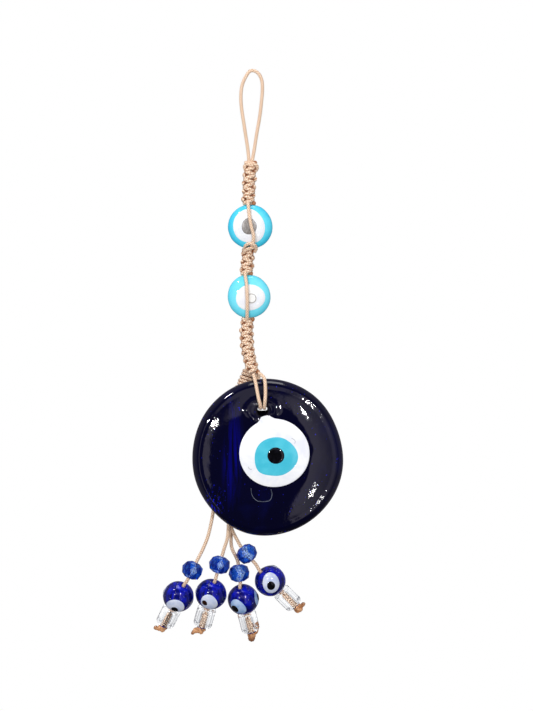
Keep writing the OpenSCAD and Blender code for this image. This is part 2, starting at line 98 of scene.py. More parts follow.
FREE_ROUTES = [
    [(-16, 1, 6), (-16.7, 1.1, 2.5), (-17.6, 1.3, -1), (-19, 1.5, -4.5),
     (-21, 1.5, -8.5), (-22.5, 1.5, -11.5), (-24.25, 1.5, -15), (-25, 2, -16),
     (-26, 3.5, -18), (-27, 5, -20), (-29, 8, -24), (-31, 11, -28), (-31.5, 11.75, -29)],
    [(-11, 1, 1), (-11.3, 1.2, -1.5), (-12.25, 1.5, -4.5), (-13, 1.5, -7.1),
     (-13.75, 1.5, -9.75), (-14.75, 1.5, -13.25), (-15, 1.6, -14.25),
     (-15.5, 2.5, -15.75), (-16.5, 4.5, -19.25), (-17.5, 6.5, -22.75),
     (-18.5, 8.5, -26.25), (-19.5, 10.5, -29.75), (-19.75, 11, -30.6)],
    [(-10, 4.5, 1), (-10.1, 4.5, -1.5), (-9.8, 4.5, -4.5), (-8, 4.5, -8.5),
     (-7.5, 4.5, -12.5), (-7.1, 4.5, -15.7), (-7.25, 4.5, -17), (-6.75, 5.75, -19),
     (-6.25, 7, -21), (-5.25, 9.5, -25), (-4.25, 12, -29), (-3.75, 13.25, -31)],
    [(-10.2, 2.4, 3), (-9.3, 2.2, 0.5), (-8, 2, -2), (-7, 1.9, -3.8), (-6, 1.9, -5),
     (-5, 1.9, -6.2), (-3, 1.9, -8.6), (-2, 1.9, -9.8), (-1, 1.9, -11.5),
     (0.5, 2.8, -13), (2.5, 4, -15), (5.5, 5.8, -18), (9.5, 8.2, -22), (11, 9.1, -23.5)],
]
CRYSTAL_STOP = (5, 4, 4, 5)
BEAD_STOP = (9, 8, 8, 10)
HOLE_STRAND_ROUTES = [
    [(-2.9, 2.2, 11.8), (-2.2, 0.6, 9.2), (-1.6, -0.9, 6), (-1.1, -1.4, 3.5),
     (-0.75, -1.2, 2.3), (-0.65, -0.2, 1.15), (-0.65, 1.4, 0.9), (-0.65, 6.6, 0.9),
     (-0.9, 8.5, 1), (-1.9, 9.2, 4), (-2.55, 10, 8.4)],
    [(-1.1, 2.2, 12.2), (0.5, 0.6, 10.6), (0.9, -0.8, 8.4), (0.95, -1.5, 5),
     (0.8, -1.5, 2.9), (0.65, -0.4, 1.3), (0.65, 1.4, 0.9), (0.65, 6.6, 0.9),
     (0.5, 8.5, 1), (-0.6, 9.2, 4.4), (-1.25, 10, 9.05)],
]
WRAP_TOP = np.array((-0.7, 6.25, -95.0))
WRAP_DIR = np.array((-3.7, 0, -8.2)) / np.linalg.norm((-3.7, 0, -8.2))
WRAP_LEN = 9.0
WRAP_D = 4.8


def shifted(route, origin):
    return [np.array(p, float) + np.array(origin, float) for p in route]


def unit(v):
    return np.asarray(v, float) / np.linalg.norm(v)


free = [shifted(r, (HOLE[0], DISC_BACK, DISC_FOOT)) for r in FREE_ROUTES]
hinges = [r[0] for r in free]
behind = [
    shifted(r, (HOLE[0], DISC_BACK, HOLE[1])) + [h + np.array((0, 0, MOVE_GAP))]
    for r, h in zip(BEHIND_ROUTES, hinges)
]
crystal_pos = [r[i] for r, i in zip(free, CRYSTAL_STOP)]
crystal_dir = [unit(r[i + 1] - r[i]) for r, i in zip(free, CRYSTAL_STOP)]
bead_pos = [r[i] for r, i in zip(free, BEAD_STOP)]
bead_dir = [unit(r[i + 1] - r[i]) for r, i in zip(free, BEAD_STOP)]
tube_pos = [p + TUBE_STOP * d for p, d in zip(bead_pos, bead_dir)]
knot_pos = [p + (TUBE_STOP + END_KNOT_STEP) * d for p, d in zip(bead_pos, bead_dir)]


def tail_route(k):
    """The whole tail, from the gathering wrap to the middle of its end knot."""
    kept = [
        p for p in free[k]
        if (p - bead_pos[k]) @ bead_dir[k] < TUBE_STOP + TUBE_LEN / 2
    ]
    return behind[k][:-1] + kept + [knot_pos[k]]


# ---------------------------------------------------------------- meshes

def smooth_line(points, step):
    """Points step apart along a smooth curve through the given points."""
    p = np.array(points, float)
    chord = np.sqrt(np.linalg.norm(np.diff(p, axis=0), axis=1))
    t = np.concatenate([[0], np.cumsum(chord)])
    slope = np.gradient(p, t, axis=0, edge_order=1)
    fine = []
    for i in range(len(p) - 1):
        h = t[i + 1] - t[i]
        n = max(4, int(np.linalg.norm(p[i + 1] - p[i]) / step * 3))
        for s in np.linspace(0, 1, n, endpoint=False):
            fine.append(
                (2 * s**3 - 3 * s**2 + 1) * p[i] + (s**3 - 2 * s**2 + s) * h * slope[i]
                + (3 * s**2 - 2 * s**3) * p[i + 1] + (s**3 - s**2) * h * slope[i + 1]
            )
    fine.append(p[-1])
    return even(np.array(fine), step)


def even(line, step):
    """The same line with its points evenly spaced, about step apart."""
    along = np.concatenate([[0], np.cumsum(np.linalg.norm(np.diff(line, axis=0), axis=1))])
    n = max(2, int(round(along[-1] / step)) + 1)
    at = np.linspace(0, along[-1], n)
    return np.stack([np.interp(at, along, line[:, i]) for i in range(3)], 1)


def ring_frames(line):
    """A tangent and two sides at each point, without needless twist."""
    tangent = np.gradient(line, axis=0)
    tangent /= np.linalg.norm(tangent, axis=1)[:, None]
    ref = np.array((0, 1, 0)) if abs(tangent[0][1]) < 0.9 else np.array((1, 0, 0))
    side = unit(ref - (ref @ tangent[0]) * tangent[0])
    sides = [side]
    for i in range(1, len(line)):
        side = sides[-1] - (sides[-1] @ tangent[i]) * tangent[i]
        sides.append(side / np.linalg.norm(side))
    a = np.array(sides)
    return tangent, a, np.cross(tangent, a)


CORD_TIP = 0.35


class Builder:
    """Gathers tubes and patches, in millimetres, into one mesh."""

    def __init__(self):
        self.verts, self.faces, self.uvs = [], [], []
        self.count = 0

    def grid(self, rows, closed=True, uv=None):
        """Rows of points joined by quads. closed joins the ends of each row."""
        rows = np.asarray(rows, float)
        n, m = rows.shape[:2]
        base = self.count
        self.verts.append(rows.reshape(-1, 3))
        self.count += n * m
        for i in range(n - 1):
            for j in range(m if closed else m - 1):
                k = (j + 1) % m
                self.faces.append(
                    (base + i * m + j, base + i * m + k, base + (i + 1) * m + k, base + (i + 1) * m + j)
                )
                if uv is not None:
                    u0, u1 = j / m, (j + 1) / m
                    self.uvs += [(u0, uv[i]), (u1, uv[i]), (u1, uv[i + 1]), (u0, uv[i + 1])]
                else:
                    self.uvs += [(0, 0)] * 4
        return base

    def fan(self, base, m, point, flip=False):
        """Closes a ring of m points with a fan to one point."""
        self.verts.append(np.array([point], float))
        tip = self.count
        self.count += 1
        for j in range(m):
            face = (base + j, base + (j + 1) % m, tip)
            self.faces.append(face[::-1] if flip else face)
            self.uvs += [(0, 0)] * 3

    def tube(self, line, radius=CORD_R, sides=12, start=0.0, swell=None):
        """A round cord along a line. Its texture's V runs on from start."""
        line = np.asarray(line, float)
        tangent, a, b = ring_frames(line)
        along = np.concatenate([[0], np.cumsum(np.linalg.norm(np.diff(line, axis=0), axis=1))])
        turn = 2 * np.pi * np.arange(sides) / sides
        ring = np.cos(turn)[None, :, None] * a[:, None] + np.sin(turn)[None, :, None] * b[:, None]
        r = np.full(len(line), radius) if swell is None else radius * np.asarray(swell)
        v = (start + along) / (2 * np.pi * CORD_R)
        base = self.grid(line[:, None] + r[:, None, None] * ring, uv=v)
        self.fan(base, sides, line[0] - CORD_TIP * r[0] * tangent[0], flip=True)
        self.fan(base + (len(line) - 1) * sides, sides, line[-1] + CORD_TIP * r[-1] * tangent[-1])

    def object(self, name, material, smooth=True, paint_crevice_shade=False, origin=(0, 0, 0)):
        """The piece, in metres, with its own origin so that its material keeps to it."""
        verts = (np.concatenate(self.verts) - np.array(origin, float)) * MM
        mesh = bpy.data.meshes.new(name)
        mesh.from_pydata(verts.tolist(), [], self.faces)
        mesh.uv_layers.new(name="cord").data.foreach_set("uv", np.array(self.uvs, np.float32).ravel())
        mesh.update()
        if smooth:
            mesh.shade_smooth()
        if paint_crevice_shade:
            add_crevice_shade(mesh)
        mesh.materials.append(material)
        piece = bpy.data.objects.new(name, mesh)
        piece.location = [c * MM for c in origin]
        scene.collection.objects.link(piece)
        return piece


CREVICE_RAYS = 10
CREVICE_REACH = 1.6 * MM
CREVICE_LIFT = 0.03 * MM


def add_crevice_shade(mesh):
    """Stores how shut in each point is by the cord around it, from 0 open to 1 shut in, for the cord's
    painted crevice shade.
    """
    tree = bvhtree.BVHTree.FromPolygons(
        [v.co for v in mesh.vertices], [p.vertices for p in mesh.polygons]
    )
    rng = np.random.default_rng(3)
    rays = rng.normal(size=(CREVICE_RAYS, 3))
    rays /= np.linalg.norm(rays, axis=1)[:, None]
    rays = [Vector(r) for r in rays]
    shut = np.zeros(len(mesh.vertices), np.float32)
    for i, v in enumerate(mesh.vertices):
        start = v.co + v.normal * CREVICE_LIFT
        hits = 0
        for r in rays:
            d = (r + v.normal * 1.02).normalized()
            if tree.ray_cast(start, d, CREVICE_REACH)[0] is not None:
                hits += 1
        shut[i] = hits / CREVICE_RAYS
    mesh.attributes.new("crevice_shade", "FLOAT", "POINT").data.foreach_set("value", shut)


def turn_outwards(piece, merge=None):
    """Faces turned outwards, after points closer than merge millimetres are joined."""
    bm = bmesh.new()
    bm.from_mesh(piece.data)
    if merge is not None:
        bmesh.ops.remove_doubles(bm, verts=bm.verts, dist=merge * MM)
    bmesh.ops.recalc_face_normals(bm, faces=bm.faces)
    bm.to_mesh(piece.data)
    bm.free()


def store(piece, name, domain, values):
    """A number for each point or face corner, for the piece's material to read."""
    data = piece.data.attributes.new(name, "FLOAT", domain).data
    data.foreach_set("value", np.asarray(values, np.float32))


def stands_for(piece, body, slot, *nodes):
    """The piece moves with its body, and takes the place of the CAD's nodes."""
    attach(piece, body)
    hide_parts(*nodes)
    return piece


# ---------------------------------------------------------------- materials

class Paint:
    """A material with a Principled shader, and short ways to add nodes to it."""

    def __init__(self, name, **values):
        self.material = bpy.data.materials.new(name)
        self.material.use_nodes = True
        self.tree = self.material.node_tree
        self.shader = self.tree.nodes["Principled BSDF"]
        for key, value in values.items():
            socket = self.shader.inputs[key.replace("_", " ")]
            socket.default_value = (*value, 1) if isinstance(value, tuple) else value
        self.coords = self.add("ShaderNodeTexCoord").outputs["Object"]

    def add(self, kind, inputs=None, **props):
        node = self.tree.nodes.new(kind)
        for key, value in props.items():
            setattr(node, key, value)
        for key, value in (inputs or {}).items():
            socket = node.inputs[key]
            if isinstance(value, bpy.types.NodeSocket):
                self.tree.links.new(value, socket)
            elif isinstance(value, tuple) and len(value) == 3 and socket.type == "RGBA":
                socket.default_value = (*value, 1)
            else:
                socket.default_value = value
        return node

    def math(self, operation, a, b=0.0, c=0.0, clamp=False):
        return self.add("ShaderNodeMath", {0: a, 1: b, 2: c}, operation=operation, use_clamp=clamp).outputs[0]

    def mix(self, factor, a, b):
        return self.add("ShaderNodeMix", {0: factor, 6: a, 7: b}, data_type="RGBA").outputs[2]

    def noise(self, scale, detail=2.0, rough=0.5, distortion=0.0, vector=None):
        return self.add("ShaderNodeTexNoise", {
            "Vector": self.coords if vector is None else vector, "Scale": scale,
            "Detail": detail, "Roughness": rough, "Distortion": distortion,
        }).outputs["Fac"]

    def span(self, value, low, high, to_low=0.0, to_high=1.0):
        return self.add("ShaderNodeMapRange", {
            "Value": value, "From Min": low, "From Max": high, "To Min": to_low, "To Max": to_high,
        }, interpolation_type="SMOOTHSTEP").outputs[0]

    def stretched(self, x, y, z):
        return self.add("ShaderNodeMapping", {"Vector": self.coords, "Scale": (x, y, z)}).outputs[0]

    def distance(self, centre, scale=(1, 1, 1)):
        """Distance from a point of the piece, in metres, with each axis scaled."""
        back = tuple(-c for c in centre)
        offset = self.add("ShaderNodeVectorMath", {0: self.coords, 1: back}, operation="ADD")
        scaled = self.add("ShaderNodeVectorMath", {0: offset.outputs[0], 1: scale}, operation="MULTIPLY")
        return self.add("ShaderNodeVectorMath", {0: scaled.outputs[0]}, operation="LENGTH").outputs[1]

    def set(self, **links):
        for key, socket in links.items():
            self.tree.links.new(socket, self.shader.inputs[key.replace("_", " ")])
        return self

    def bump(self, height, strength, distance):
        normal = self.add("ShaderNodeBump", {"Height": height, "Strength": strength, "Distance": distance})
        return self.set(Normal=normal.outputs[0])


BRAID_STRANDS = 4.0


def cord_paint(name, light, mid, dark, rough, gloss):
    """Waxed braided cord: a fine plait of over and under strands, with a painted highlight on the strands'
    tops and painted shade in its valleys and in the crevices between cords.
    """
    p = Paint(name, Roughness=rough, Sheen_Weight=0.25, Sheen_Roughness=0.4, Specular_IOR_Level=gloss)
    uv = p.add("ShaderNodeUVMap", uv_map="cord").outputs[0]
    xyz = p.add("ShaderNodeSeparateXYZ", {0: uv}).outputs
    u = p.math("MULTIPLY", xyz[0], BRAID_STRANDS)
    v = p.math("MULTIPLY", xyz[1], BRAID_STRANDS)
    a, b = p.math("ADD", u, v), p.math("SUBTRACT", u, v)
    over = p.math("FLOORED_MODULO", p.math("ADD", p.math("FLOOR", a), p.math("FLOOR", b)), 2.0)
    hump_a = p.math("ABSOLUTE", p.math("SINE", p.math("MULTIPLY", a, math.pi)))
    hump_b = p.math("ABSOLUTE", p.math("SINE", p.math("MULTIPLY", b, math.pi)))
    plait = p.math("ADD", p.math("MULTIPLY", over, hump_a),
                   p.math("MULTIPLY", p.math("SUBTRACT", 1.0, over), hump_b))
    crevice_shade = p.add("ShaderNodeAttribute", attribute_name="crevice_shade").outputs["Fac"]
    wear = p.noise(900.0, 3.0, 0.6)
    fibre = p.noise(5000.0, 2.0, 0.6)
    # The plait's tops are painted lighter as a highlight, mixed with real wear
    highlight_and_wear = p.math("ADD", p.math("MULTIPLY", plait, 0.85), p.math("MULTIPLY", wear, 0.22))
    colour = p.mix(p.span(highlight_and_wear, 0.3, 1.0), mid, light)
    # Painted shade in the plait's valleys
    colour = p.mix(p.span(plait, 0.6, 0.1, 0.0, 0.72), colour, dark)
    # Painted shade where the cord is shut in by the cord around it
    colour = p.mix(p.span(crevice_shade, 0.12, 0.62, 0.0, 0.95), colour, dark)
    p.set(Base_Color=colour)
    p.bump(p.math("ADD", plait, p.math("MULTIPLY", fibre, 0.3)), 0.7, 0.09 * MM)
    return p.material


def glass_paint(name, base, other, patch_scale, rough=0.05, bump=0.02, **values):
    """Fire polished glass with slow waves in its surface, uneven colour and a few dust pits."""
    p = Paint(name, Roughness=rough, IOR=1.5, **values)
    blotch = p.noise(patch_scale, 3.0, 0.55, 0.6)
    p.set(Base_Color=p.mix(p.span(blotch, 0.35, 0.68), base, other))
    haze = p.noise(patch_scale * 4, 3.0, 0.7)
    p.set(Roughness=p.span(haze, 0.45, 0.8, rough, rough + 0.08))
    wave = p.noise(260.0, 2.0, 0.5)
    pits = p.span(p.noise(2600.0, 1.0), 0.68, 0.78)
    p.bump(p.math("SUBTRACT", wave, p.math("MULTIPLY", pits, 0.12)), bump * 10, 0.12 * MM)
    return p


# The cord's painted highlight, its own colour, and its painted shade
CORD_HIGHLIGHT, MID_CORD, CORD_SHADE = (1.0, 0.82, 0.64), (0.66, 0.35, 0.18), (0.3, 0.085, 0.02)
waxed_cord = cord_paint("waxed_cord", CORD_HIGHLIGHT, MID_CORD, CORD_SHADE, 0.42, 0.5)


def melted_paint():
    """Knotted cord end, waxy and browner towards its melted tip."""
    p = Paint("melted_cord", Roughness=0.3, Specular_IOR_Level=0.6)
    blotch = p.noise(700.0, 3.0, 0.6)
    colour = p.mix(p.span(blotch, 0.35, 0.7), (0.86, 0.46, 0.23), (0.55, 0.22, 0.08))
    melt = p.add("ShaderNodeAttribute", attribute_name="melt").outputs["Fac"]
    p.set(Base_Color=p.mix(p.math("MULTIPLY", melt, 0.8), colour, (0.16, 0.045, 0.014)))
    p.bump(p.noise(2600.0, 3.0, 0.6), 0.5, 0.15 * MM)
    return p.material


def cobalt_paint():
    """Pressed cobalt glass: nearly black, with deep blue streaks and a bright blue lower edge, painted light
    as if shining through the thin glass there.
    """
    p = Paint("cobalt_glass", Roughness=0.04, IOR=1.5)
    streak = p.noise(260.0, 4.0, 0.6, 0.6, p.stretched(2.2, 1.0, 0.14))
    zone = p.distance((-0.0112, 0, 0.001), (1, 0.2, 0.2))
    blue = p.math("MULTIPLY", p.span(streak, 0.42, 0.66), p.span(zone, 0.0044, 0.0002))
    colour = p.mix(blue, (0.0014, 0.0014, 0.014), (0.002, 0.002, 0.2))
    faint = p.span(p.noise(60.0, 3.0, 0.6, 0.8), 0.5, 0.75, 0.0, 0.5)
    colour = p.mix(faint, colour, (0.002, 0.003, 0.05))
    # Painted light: the lower left edge is drawn bright blue, as if lit through the thin glass
    painted_edge_glow = p.math("MULTIPLY", p.span(p.distance((-0.0168, 0, -0.0140), (1, 0.3, 0.7)), 0.0044, 0.0008),
                    p.span(p.noise(1500.0, 3.0, 0.6, 0.8, p.stretched(1.2, 1.0, 0.6)), 0.56, 0.66))
    colour = p.mix(painted_edge_glow, colour, (0.008, 0.012, 0.7))
    fleck = p.span(p.noise(1300.0, 1.0), 0.73, 0.78)
    colour = p.mix(p.math("MULTIPLY", fleck, 0.8), colour, (0.01, 0.012, 0.5))
    p.set(Base_Color=colour)
    smudge = p.span(p.noise(900.0, 3.0, 0.7), 0.5, 0.85, 0.035, 0.12)
    lip = p.span(p.distance((-0.0016, 0, 0.0148), (1, 0, 1)), 0.0026, 0.0021, 0.0, 0.55)
    p.set(Roughness=p.math("ADD", smudge, lip))
    wave = p.noise(150.0, 2.0, 0.5, 0.3)
    outside = p.span(p.distance((0.0024, 0, 0.0012), (1, 0, 1)), 0.0125, 0.0175)
    fine = p.math("MULTIPLY", p.noise(1500.0, 2.0, 0.6, 0.5), outside)
    p.bump(p.math("ADD", p.math("MULTIPLY", wave, 0.55), p.math("MULTIPLY", fine, 0.17)), 0.35, 0.22 * MM)
    return p.material


def white_paint(name, tint=(0.80, 0.82, 0.9), base=(0.92, 0.93, 0.94)):
    return glass_paint(name, base, tint, 180.0, 0.06, 0.02).material


def turquoise_paint(name, base, pale):
    """Opaque turquoise glass, paler where the white glows through near the middle."""
    p = Paint(name, Roughness=0.06, IOR=1.5)
    centre = p.span(p.distance((0, 0, 0), (1, 0.1, 1)), 0.0071, 0.0048)
    blotch = p.span(p.noise(220.0, 3.0, 0.6, 0.5), 0.35, 0.75, 0.0, 0.35)
    colour = p.mix(p.math("ADD", p.math("MULTIPLY", centre, 0.5), blotch, clamp=True), base, pale)
    pits = p.span(p.noise(1500.0, 1.0), 0.75, 0.79)
    p.set(Base_Color=p.mix(pits, colour, (0.02, 0.1, 0.2)))
    wave = p.noise(260.0, 2.0, 0.5)
    p.bump(p.math("SUBTRACT", wave, p.math("MULTIPLY", pits, 0.6)), 0.2, 0.12 * MM)
    p.set(Roughness=p.span(p.noise(900.0, 3.0, 0.7), 0.45, 0.85, 0.05, 0.14))
    return p.material


def pearl_paint():
    """Pearly white spot with a fine grey rim."""
    p = Paint("pearl_spot", Roughness=0.08, IOR=1.5)
    d = p.distance((0, 0, 0), (1, 0, 1))
    rim = p.math("MULTIPLY", p.span(d, 0.00122, 0.00134), p.span(d, 0.00164, 0.0015))
    colour = p.mix(p.noise(600.0, 2.0), (0.92, 0.92, 0.9), (0.86, 0.86, 0.86))
    p.set(Base_Color=p.mix(rim, colour, (0.38, 0.36, 0.35)))
    p.bump(p.noise(500.0, 2.0), 0.2, 0.1 * MM)
    return p.material


def bead_paint():
    """Lampworked cobalt glass: dark middle, brighter blue runs, fine bubbles."""
    p = Paint("bead_glass", Roughness=0.05, IOR=1.5)
    run = p.noise(330.0, 4.0, 0.6, 1.2, p.stretched(1.0, 1.0, 0.45))
    colour = p.mix(p.span(run, 0.36, 0.62), (0.002, 0.003, 0.08), (0.004, 0.010, 0.46))
    bright = p.span(p.noise(240.0, 2.0, 0.5, 0.5), 0.56, 0.7)
    colour = p.mix(p.math("MULTIPLY", bright, 0.7), colour, (0.008, 0.016, 0.8))
    bubble = p.span(p.noise(2300.0, 1.0), 0.72, 0.76)
    p.set(Base_Color=p.mix(bubble, colour, (0.4, 0.45, 0.8)))
    p.bump(p.math("SUBTRACT", p.noise(380.0, 2.0, 0.5), p.math("MULTIPLY", bubble, 0.15)), 0.25, 0.2 * MM)
    p.set(Roughness=p.span(p.noise(1100.0, 3.0, 0.7), 0.45, 0.85, 0.04, 0.12))
    return p.material


def crystal_paint():
    """Cut transparent blue glass with slightly worn facet edges, and a painted pale highlight with glints on
    the facets that face the front.
    """
    p = Paint("blue_crystal", Roughness=0.02, IOR=1.45, Transmission_Weight=0.72)
    cloud = p.noise(420.0, 3.0, 0.6, 0.6)
    facet = p.add("ShaderNodeAttribute", attribute_name="facet").outputs["Fac"]
    colour = p.mix(p.span(facet, 0.15, 0.85), (0.001, 0.012, 0.2), (0.01, 0.1, 0.62))
    colour = p.mix(p.math("MULTIPLY", p.span(cloud, 0.5, 0.72), 0.5), colour, (0.1, 0.34, 0.85))
    # Painted highlight: the facets that face the front are drawn pale, broken by glints
    pale = p.add("ShaderNodeAttribute", attribute_name="pale").outputs["Fac"]
    glint = p.span(p.noise(1300.0, 3.0, 0.6, 0.8), 0.34, 0.6)
    p.set(Base_Color=p.mix(p.math("MULTIPLY", pale, glint), colour, (0.62, 0.8, 0.95)))
    p.bump(p.noise(1500.0, 3.0, 0.6), 0.06, 0.1 * MM)
    return p.material


def bore_glow_paint():
    """The ground wall of a crystal's bore, pale by itself and made to glow: painted light."""
    # Painted light: the bore wall glows, though it is no lamp
    p = Paint("glowing_ground_bore", Roughness=0.7, Emission_Strength=0.45)
    colour = p.mix(p.span(p.noise(1100.0, 3.0, 0.7), 0.4, 0.62), (0.25, 0.5, 0.85), (0.85, 0.93, 1.0))
    p.set(Base_Color=colour, Emission_Color=colour)
    p.bump(p.noise(2600.0, 2.0), 0.4, 0.1 * MM)
    return p.material


def tube_paint():
    """Clear glass tube with grey draw lines along it, and a painted grey reflection where its wall is seen
    edge on.
    """
    p = Paint("clear_glass", Roughness=0.01, IOR=1.25, Transmission_Weight=1.0)
    line = p.add("ShaderNodeAttribute", attribute_name="line").outputs["Fac"]
    # Painted reflection: the wall is drawn greyer where it is seen edge on
    edge = p.add("ShaderNodeLayerWeight", {"Blend": 0.35}).outputs["Facing"]
    clear = p.mix(p.noise(700.0, 2.0), (0.97, 0.98, 0.99), (0.9, 0.92, 0.95))
    grey = p.math("MAXIMUM", p.span(line, 0.45, 0.8), p.span(edge, 0.35, 0.95))
    p.set(Base_Color=p.mix(p.math("MULTIPLY", grey, 0.8), clear, (0.16, 0.16, 0.18)))
    p.bump(line, 0.3, 0.12 * MM)
    return p.material


melted_cord = melted_paint()
cobalt_glass = cobalt_paint()
white_glass = white_paint("white_glass")
spot_glass = white_paint("spot_glass", (0.5, 0.58, 0.82), (0.74, 0.78, 0.9))
pale_spot_glass = white_paint("pale_spot_glass", (0.2, 0.36, 0.68), (0.5, 0.62, 0.84))
glowing_ground_bore = bore_glow_paint()
sky_glass = glass_paint("sky_glass", (0.06, 0.5, 0.67), (0.09, 0.57, 0.73), 240.0, 0.06, 0.02).material
black_glass = glass_paint("black_glass", (0.002, 0.002, 0.003), (0.006, 0.006, 0.01), 300.0, 0.04,
                          0.04).material
brown_glass = glass_paint("brown_glass", (0.004, 0.003, 0.003), (0.05, 0.012, 0.004), 900.0, 0.05,
                          0.04).material
# Darker, duller glass for the hole's wall: painted shade inside the hole
hole_shade_glass = glass_paint("dark_hole_glass", (0.001, 0.001, 0.003), (0.003, 0.003, 0.012), 700.0, 0.3, 0.04,
                        Specular_IOR_Level=0.15).material
seam_glass = glass_paint("seam_glass", (0.05, 0.06, 0.09), (0.12, 0.14, 0.19), 900.0, 0.3, 0.04).material
turquoise_first = turquoise_paint("turquoise_first", (0.035, 0.54, 0.8), (0.18, 0.8, 0.95))
turquoise_second = turquoise_paint("turquoise_second", (0.1, 0.66, 0.87), (0.26, 0.82, 0.95))
silver_spot = glass_paint("silver_spot", (0.2, 0.18, 0.17), (0.36, 0.34, 0.33), 1500.0, 0.35, 0.04,
                          Metallic=0.2).material
pearl_spot = pearl_paint()
bead_glass = bead_paint()
blue_crystal = crystal_paint()
clear_glass = tube_paint()


# ---------------------------------------------------------------- cords

CORD_STEP = 0.35


# The hanging loop runs on into the first knot, out of sight
loop_line = smooth_line(
    [(x, y, CORD_R if z > 0 else z * LOOP_STRETCH) for x, y, z in LOOP_ROUTE], CORD_STEP
)
made = Builder()
made.tube(loop_line)
hanging_loop = made.object("hanging_loop_cord", waxed_cord)
stands_for(hanging_loop, "hanger", "waxed_cord", "hanging_loop")

tail_lines = [smooth_line(tail_route(k), CORD_STEP) for k in range(4)]
# The glass tube magnifies the cord in it, which is drawn this much thicker there
TUBE_SWELL = 0.75
TUBE_SWELL_FROM, TUBE_SWELL_TO = 4.6, 5.6
TUBE_REACH = 2
for k in range(4):
    made = Builder()
    ahead = (tail_lines[k] - bead_pos[k]) @ bead_dir[k]
    beside = np.linalg.norm(tail_lines[k] - bead_pos[k] - ahead[:, None] * bead_dir[k], axis=1)
    in_tube = np.interp(ahead, (TUBE_SWELL_FROM, TUBE_SWELL_TO), (0, 1)) * (beside < TUBE_REACH)
    made.tube(tail_lines[k], swell=1 + TUBE_SWELL * in_tube)
    tail = made.object(f"tail_cord_long_{k + 1}", waxed_cord)
    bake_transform(tail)
    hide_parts(f"tail_cord_{k + 1}", "cords_behind_disc")


# ---------------------------------------------------------------- knotting

KNOT_HALF_W = 2.1
KNOT_HALF_T = 1.5
KNOT_SAMPLES = 26


def sinnet(top, bottom, knots, bow=0.0, seed=1):
    """A row of square knots: two knotting strands round two core strands."""
    rng = random.Random(seed)
    height = top[2] - bottom[2]
    pitch = height / knots
    wobble = [rng.uniform(-0.12, 0.12) for _ in range(2 * knots + 3)]
    swell = [rng.uniform(0.92, 1.1) for _ in range(2 * knots + 3)]

    def axis(f):
        return np.array((top[0] + (bottom[0] - top[0]) * f + bow * math.sin(math.pi * f),
                         0.0, top[2] - height * f))

    front, back = [], []
    for i in range(knots * KNOT_SAMPLES + 1):
        u = i / KNOT_SAMPLES
        half = min(int(u * 2), 2 * knots - 1)
        part = u * 2 - half
        jitter = wobble[half] * (1 - part) + wobble[half + 1] * part
        size = swell[half] * (1 - part) + swell[half + 1] * part
        turn = 2 * math.pi * u
        c, s = math.cos(turn), abs(math.sin(turn))
        out = KNOT_HALF_W - CORD_R
        deep = KNOT_HALF_T - CORD_R
        z_a = pitch * (u - 0.3 * math.sin(2 * turn) / (4 * math.pi)) / height
        z_b = pitch * (u - 0.2 * math.sin(2 * turn) / (4 * math.pi)) / height
        a = axis(z_a)
        b = axis(z_b)
        wide = math.tanh(2.3 * c) / math.tanh(2.3)
        front.append(a + (-0.8 * out * size * c + jitter, 0.35 - (deep + 0.25) * s**0.8, 0))
        back.append(b + (out * size * wide * 1.02 + jitter, -0.6 + (deep + 0.55) * s**0.7, 0))
    made = Builder()
    made.tube(even(np.array(front), CORD_STEP * 0.7), radius=CORD_R * 1.3)
    made.tube(even(np.array(back), CORD_STEP * 0.7), radius=CORD_R * 1.28, start=2.0)
    for side in (-1, 1):
        core = [axis(f) + (side * 0.5 * CORD_D * 0.95, 0.0, 0) for f in np.linspace(-0.02, 1.02, 12)]
        made.tube(even(np.array(core), CORD_STEP), start=5.0)
    return made


def finish_cords(made, name, body, *nodes):
    stands_for(made.object(name, waxed_cord, paint_crevice_shade=True), body, "waxed_cord", *nodes)


UPPER = ((-0.9, 0, -28.85), (-1.5, 0, -41.85))
MIDDLE = ((-1.6, 0, -56.75), (-2.1, 0, -64.35))
LOWER = ((-1.9, 0, -78.85), (0.1, 0, -95.85))

upper = sinnet(*UPPER, knots=5, seed=3)
# The fold of the knotting cord stands out to the right at the first knot
upper.tube(smooth_line([(-1.0, -0.2, -29.0), (0.3, -0.9, -29.2), (1.3, -0.5, -30.0), (1.0, 0.4, -31.2),
                        (0.0, 0.9, -31.6)], CORD_STEP), start=9.0)
upper.tube(smooth_line([(-0.4, 0.3, -28.7), (-1.9, -0.5, -29.0), (-2.6, -0.4, -30.4), (-2.3, 0.2, -31.6)],
                       CORD_STEP), start=12.0)
finish_cords(upper, "upper_square_knots", "upper_chain", "upper_sinnet")
middle = sinnet(*MIDDLE, knots=3, seed=11)
# The first knotting strand of the middle row crosses the lower edge of the bead above it
middle.tube(smooth_line([(-2.7, -0.6, -56.6), (-2.3, -1.9, -55.3), (-1.0, -2.75, -54.7), (0.4, -2.6, -55.2),
                         (1.0, -1.5, -56.3), (0.5, -0.7, -57.4)], CORD_STEP), start=9.0)
middle.tube(smooth_line([(0.9, -0.5, -56.4), (0.3, -1.8, -56.0), (-1.0, -2.3, -56.2), (-2.4, -1.5, -56.9),
                         (-2.9, -0.4, -57.8)], CORD_STEP), start=12.0)
finish_cords(middle, "middle_square_knots", "middle_chain", "middle_sinnet")
lower = sinnet(*LOWER, knots=7, bow=-0.9, seed=23)
finish_cords(lower, "lower_square_knots", "lower_chain", "lower_sinnet")

